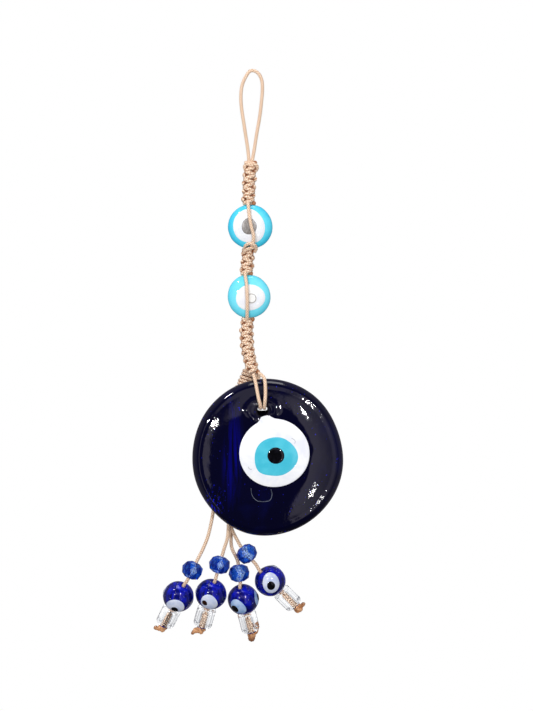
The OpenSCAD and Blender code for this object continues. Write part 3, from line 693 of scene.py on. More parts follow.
# Strands over the front and back of the flat beads, and the core strands through them
FIRST_BEAD = (-0.9, 0.0, -49.3)
SECOND_BEAD = (-1.3, 0.0, -71.6)
FIRST_FRONT = [(-1.7, -0.7, -40.9), (-1.55, -2.1, -42.3), (-1.15, -3.1, -46.0), (-0.5, -3.4, -49.6),
               (0.2, -3.2, -52.4), (0.05, -2.7, -54.2), (-0.6, -1.9, -56.0), (-1.3, -0.8, -57.4)]
FIRST_BACK = [(-1.5, 0.8, -41.0), (-1.2, 2.1, -42.6), (-0.9, 3.35, -46.2), (-0.8, 3.65, -49.4),
              (-1.1, 3.35, -52.6), (-1.4, 2.1, -56.0), (-1.6, 0.8, -57.4)]
SECOND_FRONT = [(-2.2, -0.7, -63.2), (-2.5, -1.7, -64.4), (-2.1, -2.9, -67.5), (-1.9, -3.4, -71.4),
                (-1.85, -3.0, -75.3), (-1.9, -1.8, -78.3), (-1.9, -0.8, -79.6)]
SECOND_BACK = [(-2.0, 0.8, -63.3), (-1.9, 1.8, -64.9), (-1.5, 3.0, -68.0), (-1.3, 3.4, -71.6),
               (-1.4, 3.0, -75.2), (-1.7, 1.8, -78.4), (-1.9, 0.8, -79.6)]

strand_sets = (
    ("upper_bead_strand_front", "upper_chain", "upper_front_strand", FIRST_FRONT),
    ("upper_bead_strand_back", "upper_chain", "upper_back_strand", FIRST_BACK),
    ("lower_bead_strand_front", "middle_chain", "lower_front_strand", SECOND_FRONT),
    ("lower_bead_strand_back", "middle_chain", "lower_back_strand", SECOND_BACK),
)
for name, body, node, route in strand_sets:
    made = Builder()
    made.tube(smooth_line(route, CORD_STEP))
    finish_cords(made, name, body, node)

for name, body, node, centre, half in (
    ("upper_core_strands", "upper_chain", "upper_core_cords", FIRST_BEAD, 7.9),
    ("lower_core_strands", "middle_chain", "lower_core_cords", SECOND_BEAD, 7.7),
):
    made = Builder()
    for side in (-1, 1):
        made.tube(even(np.array([(centre[0] + side * 0.5, 0, centre[2] + half),
                                 (centre[0] + side * 0.5, 0, centre[2] - half)]), CORD_STEP * 2))
    finish_cords(made, name, body, node)

# Strands at the disc
hole_routes = [shifted(r, (HOLE[0], DISC_FRONT, HOLE[1])) for r in HOLE_STRAND_ROUTES]
HOLE_STRAND_ENDS = (
    [(0.9, 6.3, -97.5), (0.6, 6.7, -95.7), (-0.2, 6.5, -94.9), (-0.9, 6.3, -96.5)],
    [(1.8, 6.4, -97.0), (1.2, 6.9, -95.1), (0.1, 7.0, -94.2), (-0.7, 6.9, -95.8)],
)
for i, side in enumerate(("left", "right")):
    made = Builder()
    made.tube(smooth_line(hole_routes[i] + HOLE_STRAND_ENDS[i], CORD_STEP), start=3.0 * i)
    finish_cords(made, f"hole_strand_cord_{side}", "lower_chain", f"hole_strand_{side}")

made = Builder()
BACK_STRANDS = (
    [(-0.7, 1.0, -93.0), (-1.0, 3.2, -92.9), (-1.3, 5.4, -93.6), (-1.6, 6.0, -95.8)],
    [(0.8, 1.0, -93.4), (0.6, 3.6, -93.3), (0.0, 5.6, -93.9), (-0.8, 5.8, -96.0)],
)
for i, route in enumerate(BACK_STRANDS):
    made.tube(smooth_line(route, CORD_STEP), start=4.0 * i)
finish_cords(made, "back_strand_cords", "lower_chain", "back_strands")

# Gathering wrap: a coil of cord round the strands
made = Builder()
WRAP_TURNS = 7
WRAP_SAMPLES = 28
WRAP_STRAND_ASIDE = 0.6
wrap_side = unit(np.cross(WRAP_DIR, (0, 1, 0)))
wrap_back = np.cross(WRAP_DIR, wrap_side)
coil = []
for i in range(WRAP_TURNS * WRAP_SAMPLES + 1):
    turn = 2 * math.pi * i / WRAP_SAMPLES
    r = WRAP_D / 2 - CORD_R + 0.07 * math.sin(turn * 0.37) + 0.05 * math.sin(turn * 1.7)
    slip = 0.1 * math.sin(turn * 0.61)
    down = CORD_R + (WRAP_LEN - CORD_D) * i / (WRAP_TURNS * WRAP_SAMPLES) + slip
    coil.append(WRAP_TOP + WRAP_DIR * down
                + r * (math.cos(turn) * wrap_side + math.sin(turn) * wrap_back))
made.tube(np.array(coil), sides=10)
for k, (a, b) in enumerate(((-1, -1), (1, -1), (-1, 1), (1, 1))):
    aside = a * WRAP_STRAND_ASIDE * wrap_side + b * WRAP_STRAND_ASIDE * wrap_back
    made.tube(smooth_line([WRAP_TOP + 1.0 * WRAP_DIR + aside, WRAP_TOP + 5 * WRAP_DIR + aside,
                           WRAP_TOP + 8.6 * WRAP_DIR + aside, behind[k][0]], CORD_STEP), start=2.0 * k)
finish_cords(made, "gathering_wrap_coil", "lower_chain", "gathering_wrap")


# ---------------------------------------------------------------- flat beads

def outline(r, wobble):
    """A radius by angle: r with a few slow waves given as (count, share, turn)."""
    def at(angle):
        return r * (1 + sum(a * math.cos(n * angle + t) for n, a, t in wobble))
    return at


def patch(made, centre, radii, tilt, wobble, surface, rise, sink=0.06, rings=14, segments=72, face=-1):
    """A round-edged pool of glass on a surface. surface gives a point and its outward normal."""
    rows = []
    steps = [math.sin(0.5 * math.pi * i / rings) for i in range(1, rings + 1)]
    for f in steps:
        row = []
        for j in range(segments):
            angle = 2 * math.pi * j / segments
            w = 1 + sum(a * math.cos(n * angle + t) for n, a, t in wobble)
            x, z = radii[0] * math.cos(angle) * f * w, radii[1] * math.sin(angle) * f * w
            c, s = math.cos(tilt), math.sin(tilt)
            point, normal = surface(centre[0] + c * x - s * z, centre[1] + s * x + c * z)
            lift = (rise + sink) * math.sqrt(max(0.0, 1 - f**5)) - sink
            row.append(point + lift * normal)
        rows.append(row if face < 0 else row[::-1])
    middle, normal = surface(*centre)
    base = made.grid(rows[::-1])
    made.fan(base + (rings - 1) * segments, segments, middle + rise * normal)


LENS_POWER = 2.4


def lens_height(rho, r, t):
    """Half the thickness of a lens-shaped bead at distance rho from its middle."""
    return t / 2 * math.sqrt(max(0.0, 1 - min(1.0, rho / r) ** LENS_POWER))


def lens_surface(centre, shape, t, face):
    def height(x, z):
        return lens_height(math.hypot(x, z), shape(math.atan2(z, x)), t)

    def at(x, z):
        e = 0.02
        y = height(x, z)
        dx = (height(x + e, z) - y) / e
        dz = (height(x, z + e) - y) / e
        normal = unit((-dx, face, -dz))
        return np.array((centre[0] + x, centre[1] + face * y, centre[2] + z)), normal
    return at


def flat_bead(name, centre, r, t, wobble, paint, white, white_wobble, pupil, pupil_paint, slots):
    """A lens of glass with a white pool and a pupil on both faces."""
    made = Builder()
    rows = []
    rings, segments = 40, 96
    shape = outline(r, wobble)
    for i in range(1, rings):
        phi = math.pi * i / rings
        share, y = math.sin(phi) ** (2 / LENS_POWER), -t / 2 * math.cos(phi)
        row = []
        for j in range(segments):
            angle = 2 * math.pi * j / segments
            rho = shape(angle) * share
            lump = 0.07 * share**12 * noise.noise((3 * math.cos(angle), 3 * math.sin(angle), y * 0.6 + r))
            row.append((centre[0] + (rho + lump) * math.cos(angle), centre[1] + y,
                        centre[2] + (rho + lump) * math.sin(angle)))
        rows.append(row)
    base = made.grid(rows)
    made.fan(base, segments, (centre[0], centre[1] - t / 2, centre[2]), flip=True)
    made.fan(base + (rings - 2) * segments, segments, (centre[0], centre[1] + t / 2, centre[2]))
    stands_for(made.object(f"{name}_glass_lens", paint, origin=centre), name, slots[0], f"{name}_glass")

    (wx, wz, wa, wb), (px, pz, pa, pb) = white, pupil
    whites, pupils = Builder(), Builder()
    for face in (-1, 1):
        surface = lens_surface(centre, shape, t, face)
        patch(whites, (wx, wz), (wa, wb), 0.2, white_wobble, surface, 0.13, sink=0.02, face=face)
        patch(pupils, (px, pz), (pa, pb), 0.0, [(3, 0.02, 1.0)], surface, 0.24,
              sink=-0.1, rings=12, segments=60, face=face)
    for made, part, colour, slot in (
        (whites, "white", white_glass, slots[1]), (pupils, "pupil", pupil_paint, slots[2])
    ):
        origin = (centre[0] + px, centre[1], centre[2] + pz)
        stands_for(made.object(f"{name}_{part}_pool", colour, origin=origin), name, slot, f"{name}_{part}")


flat_bead("first_bead", FIRST_BEAD, 7.1, 5.0, [(2, 0.008, 0.6), (3, 0.005, 2.0)],
          turquoise_first, (-0.35, 0.1, 4.95, 5.65), [(2, 0.03, 0.7), (3, 0.025, 2.6), (5, 0.008, 0.0)],
          (-0.35, 0.1, 2.4, 2.65), silver_spot, ("turquoise_glass", "white_glass", "silver_spot"))
flat_bead("second_bead", SECOND_BEAD, 6.9, 5.0, [(2, 0.01, 2.2), (3, 0.006, 0.4)],
          turquoise_second, (0.45, -0.4, 4.65, 4.2), [(2, 0.015, 0.2), (3, 0.02, 1.1)],
          (0.8, -0.65, 1.72, 1.72), pearl_spot, ("turquoise_glass", "white_glass", "pearl_spot"))


# ---------------------------------------------------------------- disc

DISC_POS = np.array((4.6, 0.0, -123.05))
DISC_R = 24.6
RIM_R = 3.1
HOLE_R = 1.8
# The hole closes in to a slot with rounded corners
SLOT_HALF_W = 1.55
SLOT_HALF_H = 0.78
SLOT_RAISED = 0.9
SLOT_CORNER = 0.57
# How far the hole has closed in, from 0 to 1, by the share of its depth
HOLE_CLOSING = (
    (0, 0), (0.3, 0), (0.6, 0), (0.74, 0.35), (0.82, 0.8), (0.88, 1), (0.94, 1), (0.98, 0.6), (1, 0),
)
EYE = (6.8, -121.65)
DISC_WAVES = [(2, -0.02, 0.0), (3, 0.004, 0.5), (4, 0.004, 1.2), (5, 0.003, 2.0), (7, 0.002, 0.7)]
disc_outline = outline(DISC_R, DISC_WAVES)
RIM_SEGMENTS = 160
RIM_STEPS = 18
HOLE_SEGMENTS = 40
SHOULDER = 0.60
RIM_Y = DISC_BACK - RIM_R


def front_height(x, z):
    """Y of the disc's front at a place on its inner face."""
    dx, dz = x - DISC_POS[0], z - DISC_POS[2]
    angle = math.atan2(dz, dx)
    inner = disc_outline(angle) - RIM_R
    f = min(1.0, math.hypot(dx, dz) / inner)
    s = max(0.0, (f - SHOULDER) / (1 - SHOULDER))
    y = DISC_FRONT + 0.12 * f * f + (RIM_Y - RIM_R - DISC_FRONT - 0.12) * s**1.9
    # A raised ring of glass round the hole
    e = math.hypot((x - HOLE[0] + 0.2) / 5.4, (z - HOLE[1] - 0.3) / 4.0)
    clear_of_eye = min(1.0, max(0.0, (math.hypot(x - EYE[0], z - EYE[1]) - 11.6) / 1.4))
    y -= 0.42 * math.exp(-(((e - 0.86) / 0.16) ** 2)) * clear_of_eye**2 * (3 - 2 * clear_of_eye)
    # The lip turns down into the hole
    lip = math.hypot(x - HOLE[0], z - HOLE[1]) - HOLE_R
    y += 0.9 * math.exp(-lip / 0.45)
    # Hand-pressed unevenness
    y += 0.16 * noise.noise((x * 0.11, z * 0.11, 1.7)) + 0.035 * s * noise.noise((x * 0.55, z * 0.55, 5.1))
    return y


def disc_sheet(made, front):
    """The front or the back of the disc, as rings of triangles round the hole."""
    points, edges = [], []

    def ring(cx, cz, radius_at, n, join):
        first = len(points)
        for j in range(n):
            a = 2 * math.pi * j / n
            r = radius_at(a)
            points.append(Vector((cx + r * math.cos(a), cz + r * math.sin(a))))
        if join:
            edges.extend((first + j, first + (j + 1) % n) for j in range(n))

    ring(DISC_POS[0], DISC_POS[2], lambda a: disc_outline(a) - RIM_R, RIM_SEGMENTS, True)
    ring(HOLE[0], HOLE[1], lambda a: HOLE_R, HOLE_SEGMENTS, True)
    hole_rings = (0.12, 0.28, 0.5, 0.8, 1.15, 1.55, 2.0, 2.5, 3.0, 3.5) if front else (0.2, 0.5, 1.0, 1.8)
    for extra in hole_rings:
        ring(HOLE[0], HOLE[1], lambda a, extra=extra: HOLE_R + extra, 48, False)
    clear = HOLE_R + hole_rings[-1] + 0.3
    rows = 40 if front else 10
    for i in range(rows):
        f = i / rows
        n = max(1, int(RIM_SEGMENTS * f)) if front else max(1, int(60 * f))
        for j in range(n):
            a = 2 * math.pi * (j + 0.5 * (i % 2)) / n
            r = (disc_outline(a) - RIM_R) * f
            p = Vector((DISC_POS[0] + r * math.cos(a), DISC_POS[2] + r * math.sin(a)))
            if (p - Vector((HOLE[0], HOLE[1]))).length > clear:
                points.append(p)
    flat, _, triangles, *_ = geometry.delaunay_2d_cdt(points, edges, [], 0, 1e-6)
    hole = Vector((HOLE[0], HOLE[1]))
    base = made.count
    made.verts.append(np.array([
        (p.x, front_height(p.x, p.y) if front else DISC_BACK, p.y) for p in flat
    ]))
    made.count += len(flat)
    for t in triangles:
        middle = (flat[t[0]] + flat[t[1]] + flat[t[2]]) / 3
        dx, dz = middle.x - DISC_POS[0], middle.y - DISC_POS[2]
        if (middle - hole).length < HOLE_R * 0.985:
            continue
        if math.hypot(dx, dz) > disc_outline(math.atan2(dz, dx)) - RIM_R:
            continue
        corners = [base + c for c in t]
        made.faces.append(tuple(corners if front else corners[::-1]))
        made.uvs += [(0, 0)] * 3


def disc_rim(made):
    """The rounded edge that joins the disc's front to its back."""
    rim = []
    for i in range(RIM_STEPS + 1):
        phi = math.pi * i / RIM_STEPS
        row = []
        for j in range(RIM_SEGMENTS):
            a = 2 * math.pi * j / RIM_SEGMENTS
            inner = disc_outline(a) - RIM_R
            x, z = DISC_POS[0] + inner * math.cos(a), DISC_POS[2] + inner * math.sin(a)
            low = front_height(x, z)
            out = RIM_R * math.sin(phi) ** 0.9
            mid, half = (low + DISC_BACK) / 2, (DISC_BACK - low) / 2
            row.append((x + out * math.cos(a), mid - half * math.cos(phi), z + out * math.sin(a)))
        rim.append(row)
    made.grid(rim)


def rounded(value):
    """A sine or cosine, pushed outwards so that a circle becomes a rounded slot."""
    return math.copysign(abs(value) ** SLOT_CORNER, value)


def disc_hole_wall():
    """The hole's wall, which closes in on the cords near the back, where the glass is thicker. Its dark, dull
    glass is painted shade inside the hole.
    """
    wall = []
    for depth, closed in HOLE_CLOSING:
        row = []
        for j in range(HOLE_SEGMENTS):
            a = 2 * math.pi * j / HOLE_SEGMENTS
            slot_x = SLOT_HALF_W * rounded(math.cos(a))
            slot_z = SLOT_RAISED + SLOT_HALF_H * rounded(math.sin(a))
            inside_hole = min(1.0, 0.99 * HOLE_R / math.hypot(slot_x, slot_z))
            x = HOLE[0] + (1 - closed) * HOLE_R * math.cos(a) + closed * inside_hole * slot_x
            z = HOLE[1] + (1 - closed) * HOLE_R * math.sin(a) + closed * inside_hole * slot_z
            low = front_height(HOLE[0] + HOLE_R * math.cos(a), HOLE[1] + HOLE_R * math.sin(a))
            row.append((x, low + (DISC_BACK - low) * depth, z))
        wall.append(row[::-1])
    made = Builder()
    made.grid(wall)
    piece = made.object("disc_hole_wall", hole_shade_glass, origin=DISC_POS)
    stands_for(piece, "disc", "cobalt_glass", "disc_glass")


def disc_body():
    made = Builder()
    disc_sheet(made, True)
    disc_sheet(made, False)
    disc_rim(made)
    disc_hole_wall()
    piece = made.object("disc_glass_body", cobalt_glass, origin=DISC_POS)
    turn_outwards(piece, merge=0.01)
    piece.data.shade_smooth()
    stands_for(piece, "disc", "cobalt_glass", "disc_glass")


disc_body()


def eye_dome(x, z):
    """The white stands on a smooth dome of its own, not on the disc's waves."""
    d = math.hypot(x - EYE[0], z - EYE[1]) / 11.2
    y = min(DISC_FRONT + 0.1 - 0.55 * (1 - d * d), front_height(x, z) - 0.06)
    return np.array((x, y, z)), unit((-1.1 * (x - EYE[0]) / 125, -1, -1.1 * (z - EYE[1]) / 125))


def white_edge(angle):
    """The white's radius: round, with the small bump where the hot glass was cut off."""
    r = 11.3 * (1 + 0.014 * math.cos(2 * angle) + 0.006 * math.cos(3 * angle + 1.0))
    off = (angle - math.radians(104) + math.pi) % (2 * math.pi) - math.pi
    return r + 1.0 * math.exp(-((off / 0.2) ** 4))


def pool(name, edge_at, centre, lift, rise, paint, slot, node, rings=20, segments=120, sink=0.3):
    """A round-edged pool of glass on the dome of the eye."""
    made = Builder()
    rows = []
    for i in range(1, rings + 1):
        f = math.sin(0.5 * math.pi * i / rings)
        row = []
        for j in range(segments):
            a = 2 * math.pi * j / segments
            r = edge_at(a) * f
            point, normal = eye_dome(centre[0] + r * math.cos(a), centre[1] + r * math.sin(a))
            up = lift + (rise + sink) * math.sqrt(max(0.0, 1 - f**7)) - sink
            row.append(point + up * normal)
        rows.append(row)
    base = made.grid(rows[::-1])
    point, normal = eye_dome(*centre)
    made.fan(base + (rings - 1) * segments, segments, point + (lift + rise) * normal)
    stands_for(made.object(name, paint, origin=(centre[0], 0, centre[1])), "disc", slot, node)


def iris_edge(angle):
    """The light blue's radius: a little oval, with a small bulge at its lower left."""
    r = 7.15 * (1 + 0.055 * math.cos(2 * angle - 0.2) + 0.015 * math.cos(3 * angle + 0.6)
                + 0.01 * math.cos(5 * angle))
    off = (angle - math.radians(222) + math.pi) % (2 * math.pi) - math.pi
    return r + 0.35 * math.exp(-((off / 0.35) ** 2))


pool("disc_white_pool", white_edge, EYE, 0.0, 0.35, white_glass, "white_glass", "disc_white")
pool("disc_iris_pool", iris_edge, (7.25, -122.75), 0.3, 0.12, sky_glass, "sky_glass", "disc_iris", sink=0.12)
pool("disc_pupil_pool", outline(2.8, [(2, 0.015, 0.3), (3, 0.01, 1.0)]), (7.3, -122.5), 0.38, 0.22,
     black_glass, "black_glass", "disc_pupil", rings=12, segments=64, sink=0.15)


# A U-shaped seam in the glass below the white, and two fine hairs on the white
SEAM = [
    (-0.64, -132.9), (-0.32, -135.1), (1.28, -136.9), (3.52, -137.2), (5.44, -136.7), (6.08, -134.8),
    (5.7, -133.2),
]
HAIRS = (
    [(12.3, -116.9), (13.1, -117.3), (13.5, -118.0), (13.3, -118.6)],
    [(-1.6, -126.1), (-1.2, -126.7), (-0.5, -126.9)],
)
SEAM_R = 0.1
HAIR_R = 0.05
HAIR_LIFT = 0.33
made = Builder()
made.tube(smooth_line([(x, front_height(x, z) + 0.02, z) for x, z in SEAM], 0.3), radius=SEAM_R, sides=8)
for route in HAIRS:
    lifted = [point + HAIR_LIFT * normal for point, normal in (eye_dome(x, z) for x, z in route)]
    made.tube(smooth_line(lifted, 0.15), radius=HAIR_R, sides=6)
stands_for(made.object("disc_seam_lines", seam_glass, origin=DISC_POS), "disc", "cobalt_glass", "disc_glass")


# ---------------------------------------------------------------- beads on the tails

def basis(direction):
    """Two sides of a direction: one as level as can be, and the other towards the viewer."""
    d = unit(direction)
    side = unit(np.cross(d, (0, 1, 0)))
    return side, np.cross(side, d), d


CRYSTAL_R = 3.42
CRYSTAL_SIDES = 9
# Each level of corners: its height and radius in crystal radii, and its turn in facets
CRYSTAL_LEVELS = (
    (-0.80, 0.40, 0.0), (-0.56, 0.84, 0.5), (0.0, 1.02, 0.0), (0.56, 0.84, 0.5), (0.80, 0.40, 0.0),
)
CRYSTAL_END = 0.80
BORE_R = 0.75
BORE_RINGS = 12
BORE_SIDES = 20


def crystal_bore(k, side, up, along):
    """The ground bore wall, seen through the glass as a pale streak that glows with painted light."""
    made = Builder()
    rows = []
    for i in range(BORE_RINGS + 1):
        h = CRYSTAL_R * (-0.74 + 1.48 * i / BORE_RINGS)
        row = []
        for j in range(BORE_SIDES):
            a = 2 * math.pi * j / BORE_SIDES
            r = BORE_R - 0.03 + 0.05 * noise.noise((i * 0.9, j * 0.8, k))
            row.append(crystal_pos[k] + r * (math.cos(a) * side + math.sin(a) * up) + h * along)
        rows.append(row)
    made.grid(rows)
    piece = made.object(f"crystal_bore_{k + 1}", glowing_ground_bore, origin=crystal_pos[k])
    stands_for(piece, f"crystal_{k + 1}", "blue_crystal", f"crystal_{k + 1}")


def crystal(k):
    """A bead cut with rows of facets, each row turned by half a facet from the last."""
    side, up, along = basis(crystal_dir[k])
    made = Builder()
    rows = []
    rng = random.Random(40 + k)
    spin = rng.uniform(0, 1)
    bore = []
    for h, r, shift in CRYSTAL_LEVELS:
        row = []
        for j in range(CRYSTAL_SIDES):
            a = 2 * math.pi * (j + shift + spin) / CRYSTAL_SIDES
            out = CRYSTAL_R * r * rng.uniform(0.985, 1.015)
            row.append(crystal_pos[k] + out * (math.cos(a) * side + math.sin(a) * up)
                       + CRYSTAL_R * h * along)
        rows.append(row)
    for h in (CRYSTAL_END, -CRYSTAL_END):
        bore.append([
            crystal_pos[k] + BORE_R * (math.cos(a) * side + math.sin(a) * up) + CRYSTAL_R * h * along
            for a in (2 * math.pi * (j + spin) / CRYSTAL_SIDES for j in range(CRYSTAL_SIDES))
        ])
    rings = rows + bore
    n = CRYSTAL_SIDES
    made.verts.append(np.array(rings).reshape(-1, 3))
    made.count += len(rings) * n
    last = len(rows)
    for i in range(last - 1):
        towards_half = CRYSTAL_LEVELS[i][2] > CRYSTAL_LEVELS[i + 1][2]
        for j in range(n):
            a, b = i * n + j, i * n + (j + 1) % n
            c, d = (i + 1) * n + j, (i + 1) * n + (j + 1) % n
            made.faces += [(a, d, c), (a, b, d)] if towards_half else [(a, b, c), (b, d, c)]
            made.uvs += [(0, 0)] * 6
    for i, o in ((last - 1, last), (last, last + 1), (last + 1, 0)):
        for j in range(n):
            a, b = i * n + j, i * n + (j + 1) % n
            c, d = o * n + j, o * n + (j + 1) % n
            made.faces.append((a, b, d, c))
            made.uvs += [(0, 0)] * 4
    piece = made.object(f"crystal_cut_{k + 1}", blue_crystal, smooth=False, origin=crystal_pos[k])
    turn_outwards(piece)
    facets = piece.data.polygons
    shades = np.repeat([rng.random() for _ in facets], [len(f.vertices) for f in facets])
    store(piece, "facet", "CORNER", shades)
    # The facets that face the front are marked for a painted pale highlight
    pale = []
    for f in facets:
        takes_highlight = -f.normal.y > 0.45 and abs(f.normal.dot(Vector(side))) < (0.2 if k != 2 else 0.34)
        pale += [(0.85 if takes_highlight else 0.0)] * len(f.vertices)
    store(piece, "pale", "CORNER", pale)
    stands_for(piece, f"crystal_{k + 1}", "blue_crystal", f"crystal_{k + 1}")
    crystal_bore(k, side, up, along)


EYE_BEAD_R = 4.95
EYE_BEAD_BORE_R = 0.85
EYE_BEAD_BORE_HALF = 4.2
EYE_BEAD_LUMP = 0.10
# The eye seen from the front: its turn and drop, its two radii and tilt, and its pupil's
# radius and place. The others are turned on from it round the bead.
FRONT_EYES = (
    dict(turn=-19, rise=-46, radii=(3.35, 3.2), tilt=-0.08, pupil=1.25, place=(-0.3, -0.9),
         others=(108, 180, 252)),
    dict(turn=-10, rise=-37, radii=(3.0, 3.25), tilt=0.0, pupil=0.95, place=(-1.4, 0.2),
         others=(110, 180, 250)),
    dict(turn=-24, rise=-33, radii=(2.6, 3.2), tilt=0.4, pupil=1.35, place=(-1.2, -0.45),
         others=(112, 180, 254)),
    dict(turn=3, rise=-8, radii=(3.05, 3.75), tilt=0.1, pupil=1.4, place=(0.0, -0.75),
         others=(118, 180, 240)),
)


def turned(v, axis, degrees):
    """v turned about axis."""
    a = math.radians(degrees)
    return v * math.cos(a) + np.cross(axis, v) * math.sin(a) + axis * (axis @ v) * (1 - math.cos(a))


def eye_bead(k):
    """A round lampworked bead with dimpled bore mouths and four eyes."""
    side, up, along = basis(bead_dir[k])
    centre = bead_pos[k]
    rng = random.Random(60 + k)
    phase = [rng.uniform(0, 6) for _ in range(3)]
    made = Builder()
    rings, segments = 44, 88

    def place(lat, lon):
        """A point on the bead and its outward direction, from the angle off the bore's start."""
        d = math.sin(lat) * (math.cos(lon) * side + math.sin(lon) * up) + math.cos(lat) * along
        lump = EYE_BEAD_LUMP * noise.noise(Vector(d * 1.3) + Vector(phase))
        mouth = max(0.0, 1 - math.sin(lat) / 0.34)
        return centre + (EYE_BEAD_R + lump - 0.5 * mouth**1.5) * d, d

    rows = []
    start = math.asin(EYE_BEAD_BORE_R / EYE_BEAD_R)
    for i in range(rings + 1):
        lat = start + (math.pi - 2 * start) * i / rings
        rows.append([place(lat, 2 * math.pi * j / segments)[0] for j in range(segments)])
    for f in (0.9, 0.0, -0.9):
        h = f * EYE_BEAD_BORE_HALF
        rows.append([
            centre + EYE_BEAD_BORE_R * (math.cos(a) * side + math.sin(a) * up) + h * along
            for a in (2 * math.pi * j / segments for j in range(segments))
        ])
    rows.append(rows[0])
    made.grid(rows)
    glass = made.object(f"eye_bead_glass_{k + 1}", bead_glass, origin=centre)
    turn_outwards(glass)
    stands_for(glass, f"eye_bead_{k + 1}", "bead_glass", f"eye_bead_{k + 1}")

    spots, pupils = Builder(), Builder()
    eye = FRONT_EYES[k]
    for i in range(4):
        radii = eye["radii"] if i == 0 else (rng.uniform(2.5, 2.9), rng.uniform(2.5, 2.9))
        lon = math.radians(eye["turn"])
        lift = math.radians(eye["rise"])
        # The front eye looks along -Y, less its turn to the side and its drop
        if i == 0:
            d = np.array((math.sin(lon) * math.cos(lift), -math.cos(lon) * math.cos(lift), math.sin(lift)))
            right = unit(np.cross((0, 0, 1), d))
            front_d = d
        else:
            d = turned(front_d, along, eye["others"][i - 1] + rng.uniform(-3, 3))
            right = unit(np.cross(along, d))
        above = np.cross(d, right)

        def surface(x, z, d=d, right=right, above=above):
            r = math.hypot(x, z)
            if r < 1e-9:
                v = d
            else:
                t = (x * right + z * above) / r
                v = math.cos(r / EYE_BEAD_R) * d + math.sin(r / EYE_BEAD_R) * t
            lump = EYE_BEAD_LUMP * noise.noise(Vector(v * 1.3) + Vector(phase))
            return centre + (EYE_BEAD_R + lump) * v, v

        waves = [(2, 0.03, rng.uniform(0, 6)), (3, 0.02, rng.uniform(0, 6))]
        patch(spots, (0, 0), radii, eye["tilt"], waves, surface, 0.10, sink=0.08, rings=10, segments=56)
        at = eye["place"] if i == 0 else (rng.uniform(-0.5, 0.5), rng.uniform(-0.5, 0.5))
        size = eye["pupil"] if i == 0 else rng.uniform(0.95, 1.25)
        patch(pupils, at, (size, size * 1.05), 0.0, waves, surface, 0.24, sink=0.02, rings=8, segments=36)
    for made, part, paint, slot in (
        (spots, "spots", pale_spot_glass if k == 2 else spot_glass, "white_glass"),
        (pupils, "pupils", brown_glass if k == 1 else black_glass, "black_glass"),
    ):
        piece = made.object(f"eye_{part}_pools_{k + 1}", paint, origin=centre)
        turn_outwards(piece)
        stands_for(piece, f"eye_bead_{k + 1}", slot, f"eye_{part}_{k + 1}")


TUBE_R = 3.0
TUBE_BORE_R = 1.4
TUBE_EDGE_R = 0.55
TUBE_EDGE_STEPS = 8
TUBE_SEGMENTS = 72


def tube_bead(k):
    """A length of clear glass tube with melted-round ends."""
    side, up, along = basis(bead_dir[k])
    rng = random.Random(80 + k)
    made = Builder()
    profile = []
    half = TUBE_LEN / 2
    edge = TUBE_EDGE_R
    for quarter, middle in ((0, TUBE_R - edge), (1, TUBE_BORE_R + edge)):
        for i in range(TUBE_EDGE_STEPS + 1):
            a = math.pi / 2 * quarter + math.pi / 2 * i / TUBE_EDGE_STEPS
            profile.append((middle + edge * math.cos(a), half - edge + edge * math.sin(a)))
    profile += [(r, -h) for r, h in profile[::-1]]
    rows = []
    lean = rng.uniform(-0.12, 0.12)
    for r, h in profile:
        row = []
        for j in range(TUBE_SEGMENTS):
            a = 2 * math.pi * j / TUBE_SEGMENTS
            out = r * (1 + 0.012 * math.cos(2 * a + k))
            row.append(tube_pos[k] + out * (math.cos(a) * side + math.sin(a) * up)
                       + (h + lean * math.cos(a) * (1 if h > 0 else 0)) * along)
        rows.append(row)
    rows.append(rows[0])
    made.grid(rows)
    piece = made.object(f"tube_bead_clear_{k + 1}", clear_glass, origin=tube_pos[k])
    turn_outwards(piece, merge=0.001)
    piece.data.shade_smooth()
    spokes = np.array([rng.random() ** 1.5 for _ in range(TUBE_SEGMENTS)])
    verts = np.array([v.co for v in piece.data.vertices])
    turn = np.arctan2(verts @ up, verts @ side) % (2 * np.pi)
    at = turn / (2 * np.pi) * TUBE_SEGMENTS
    store(piece, "line", "POINT", np.interp(at, np.arange(TUBE_SEGMENTS + 1), np.append(spokes, spokes[0])))
    stands_for(piece, f"tube_bead_{k + 1}", "clear_glass", f"tube_bead_{k + 1}")


# Each end knot's lumps: place from the knot's middle, and radius
KNOT_LUMPS = (
    (((0.3, 0.0, 0.1), 1.25), ((-0.7, 0.2, -0.3), 1.15), ((0.1, -0.5, -0.5), 0.95)),
    (((0.6, 0.0, 0.2), 1.15), ((-0.7, 0.1, -0.1), 1.3), ((-1.7, 0.0, -0.3), 1.05)),
    (((0.0, 0.1, 0.7), 1.15), ((0.3, -0.2, -0.3), 1.1), ((-0.1, 0.1, -1.3), 1.3)),
    (((-0.3, 0.0, 0.1), 1.2), ((0.5, 0.2, -0.2), 1.2), ((0.3, -0.4, 0.6), 1.0)),
)
# Each end knot's stub runs through these places, from the knot's middle
KNOT_STUBS = (
    ((-0.5, 0.0, -0.2), (-1.4, 0.1, -0.4), (-2.1, 0.2, -0.2), (-2.6, 0.2, 0.3)),
    ((-1.6, 0.0, -0.3), (-2.3, 0.1, -0.7), (-2.7, 0.1, -1.0), (-3.0, 0.1, -0.9)),
    ((0.5, 0.0, 4.0), (1.5, -0.1, 2.8), (1.5, -0.1, 1.3), (0.6, 0.0, 0.0)),
    ((0.4, 0.0, 0.3), (1.2, 0.0, 0.8), (1.6, 0.0, 1.3), (1.5, 0.0, 1.8)),
)


KNOT_RINGS = 16
KNOT_SIDES = 24
KNOT_CORE = 0.86
KNOT_CORD = 1.1


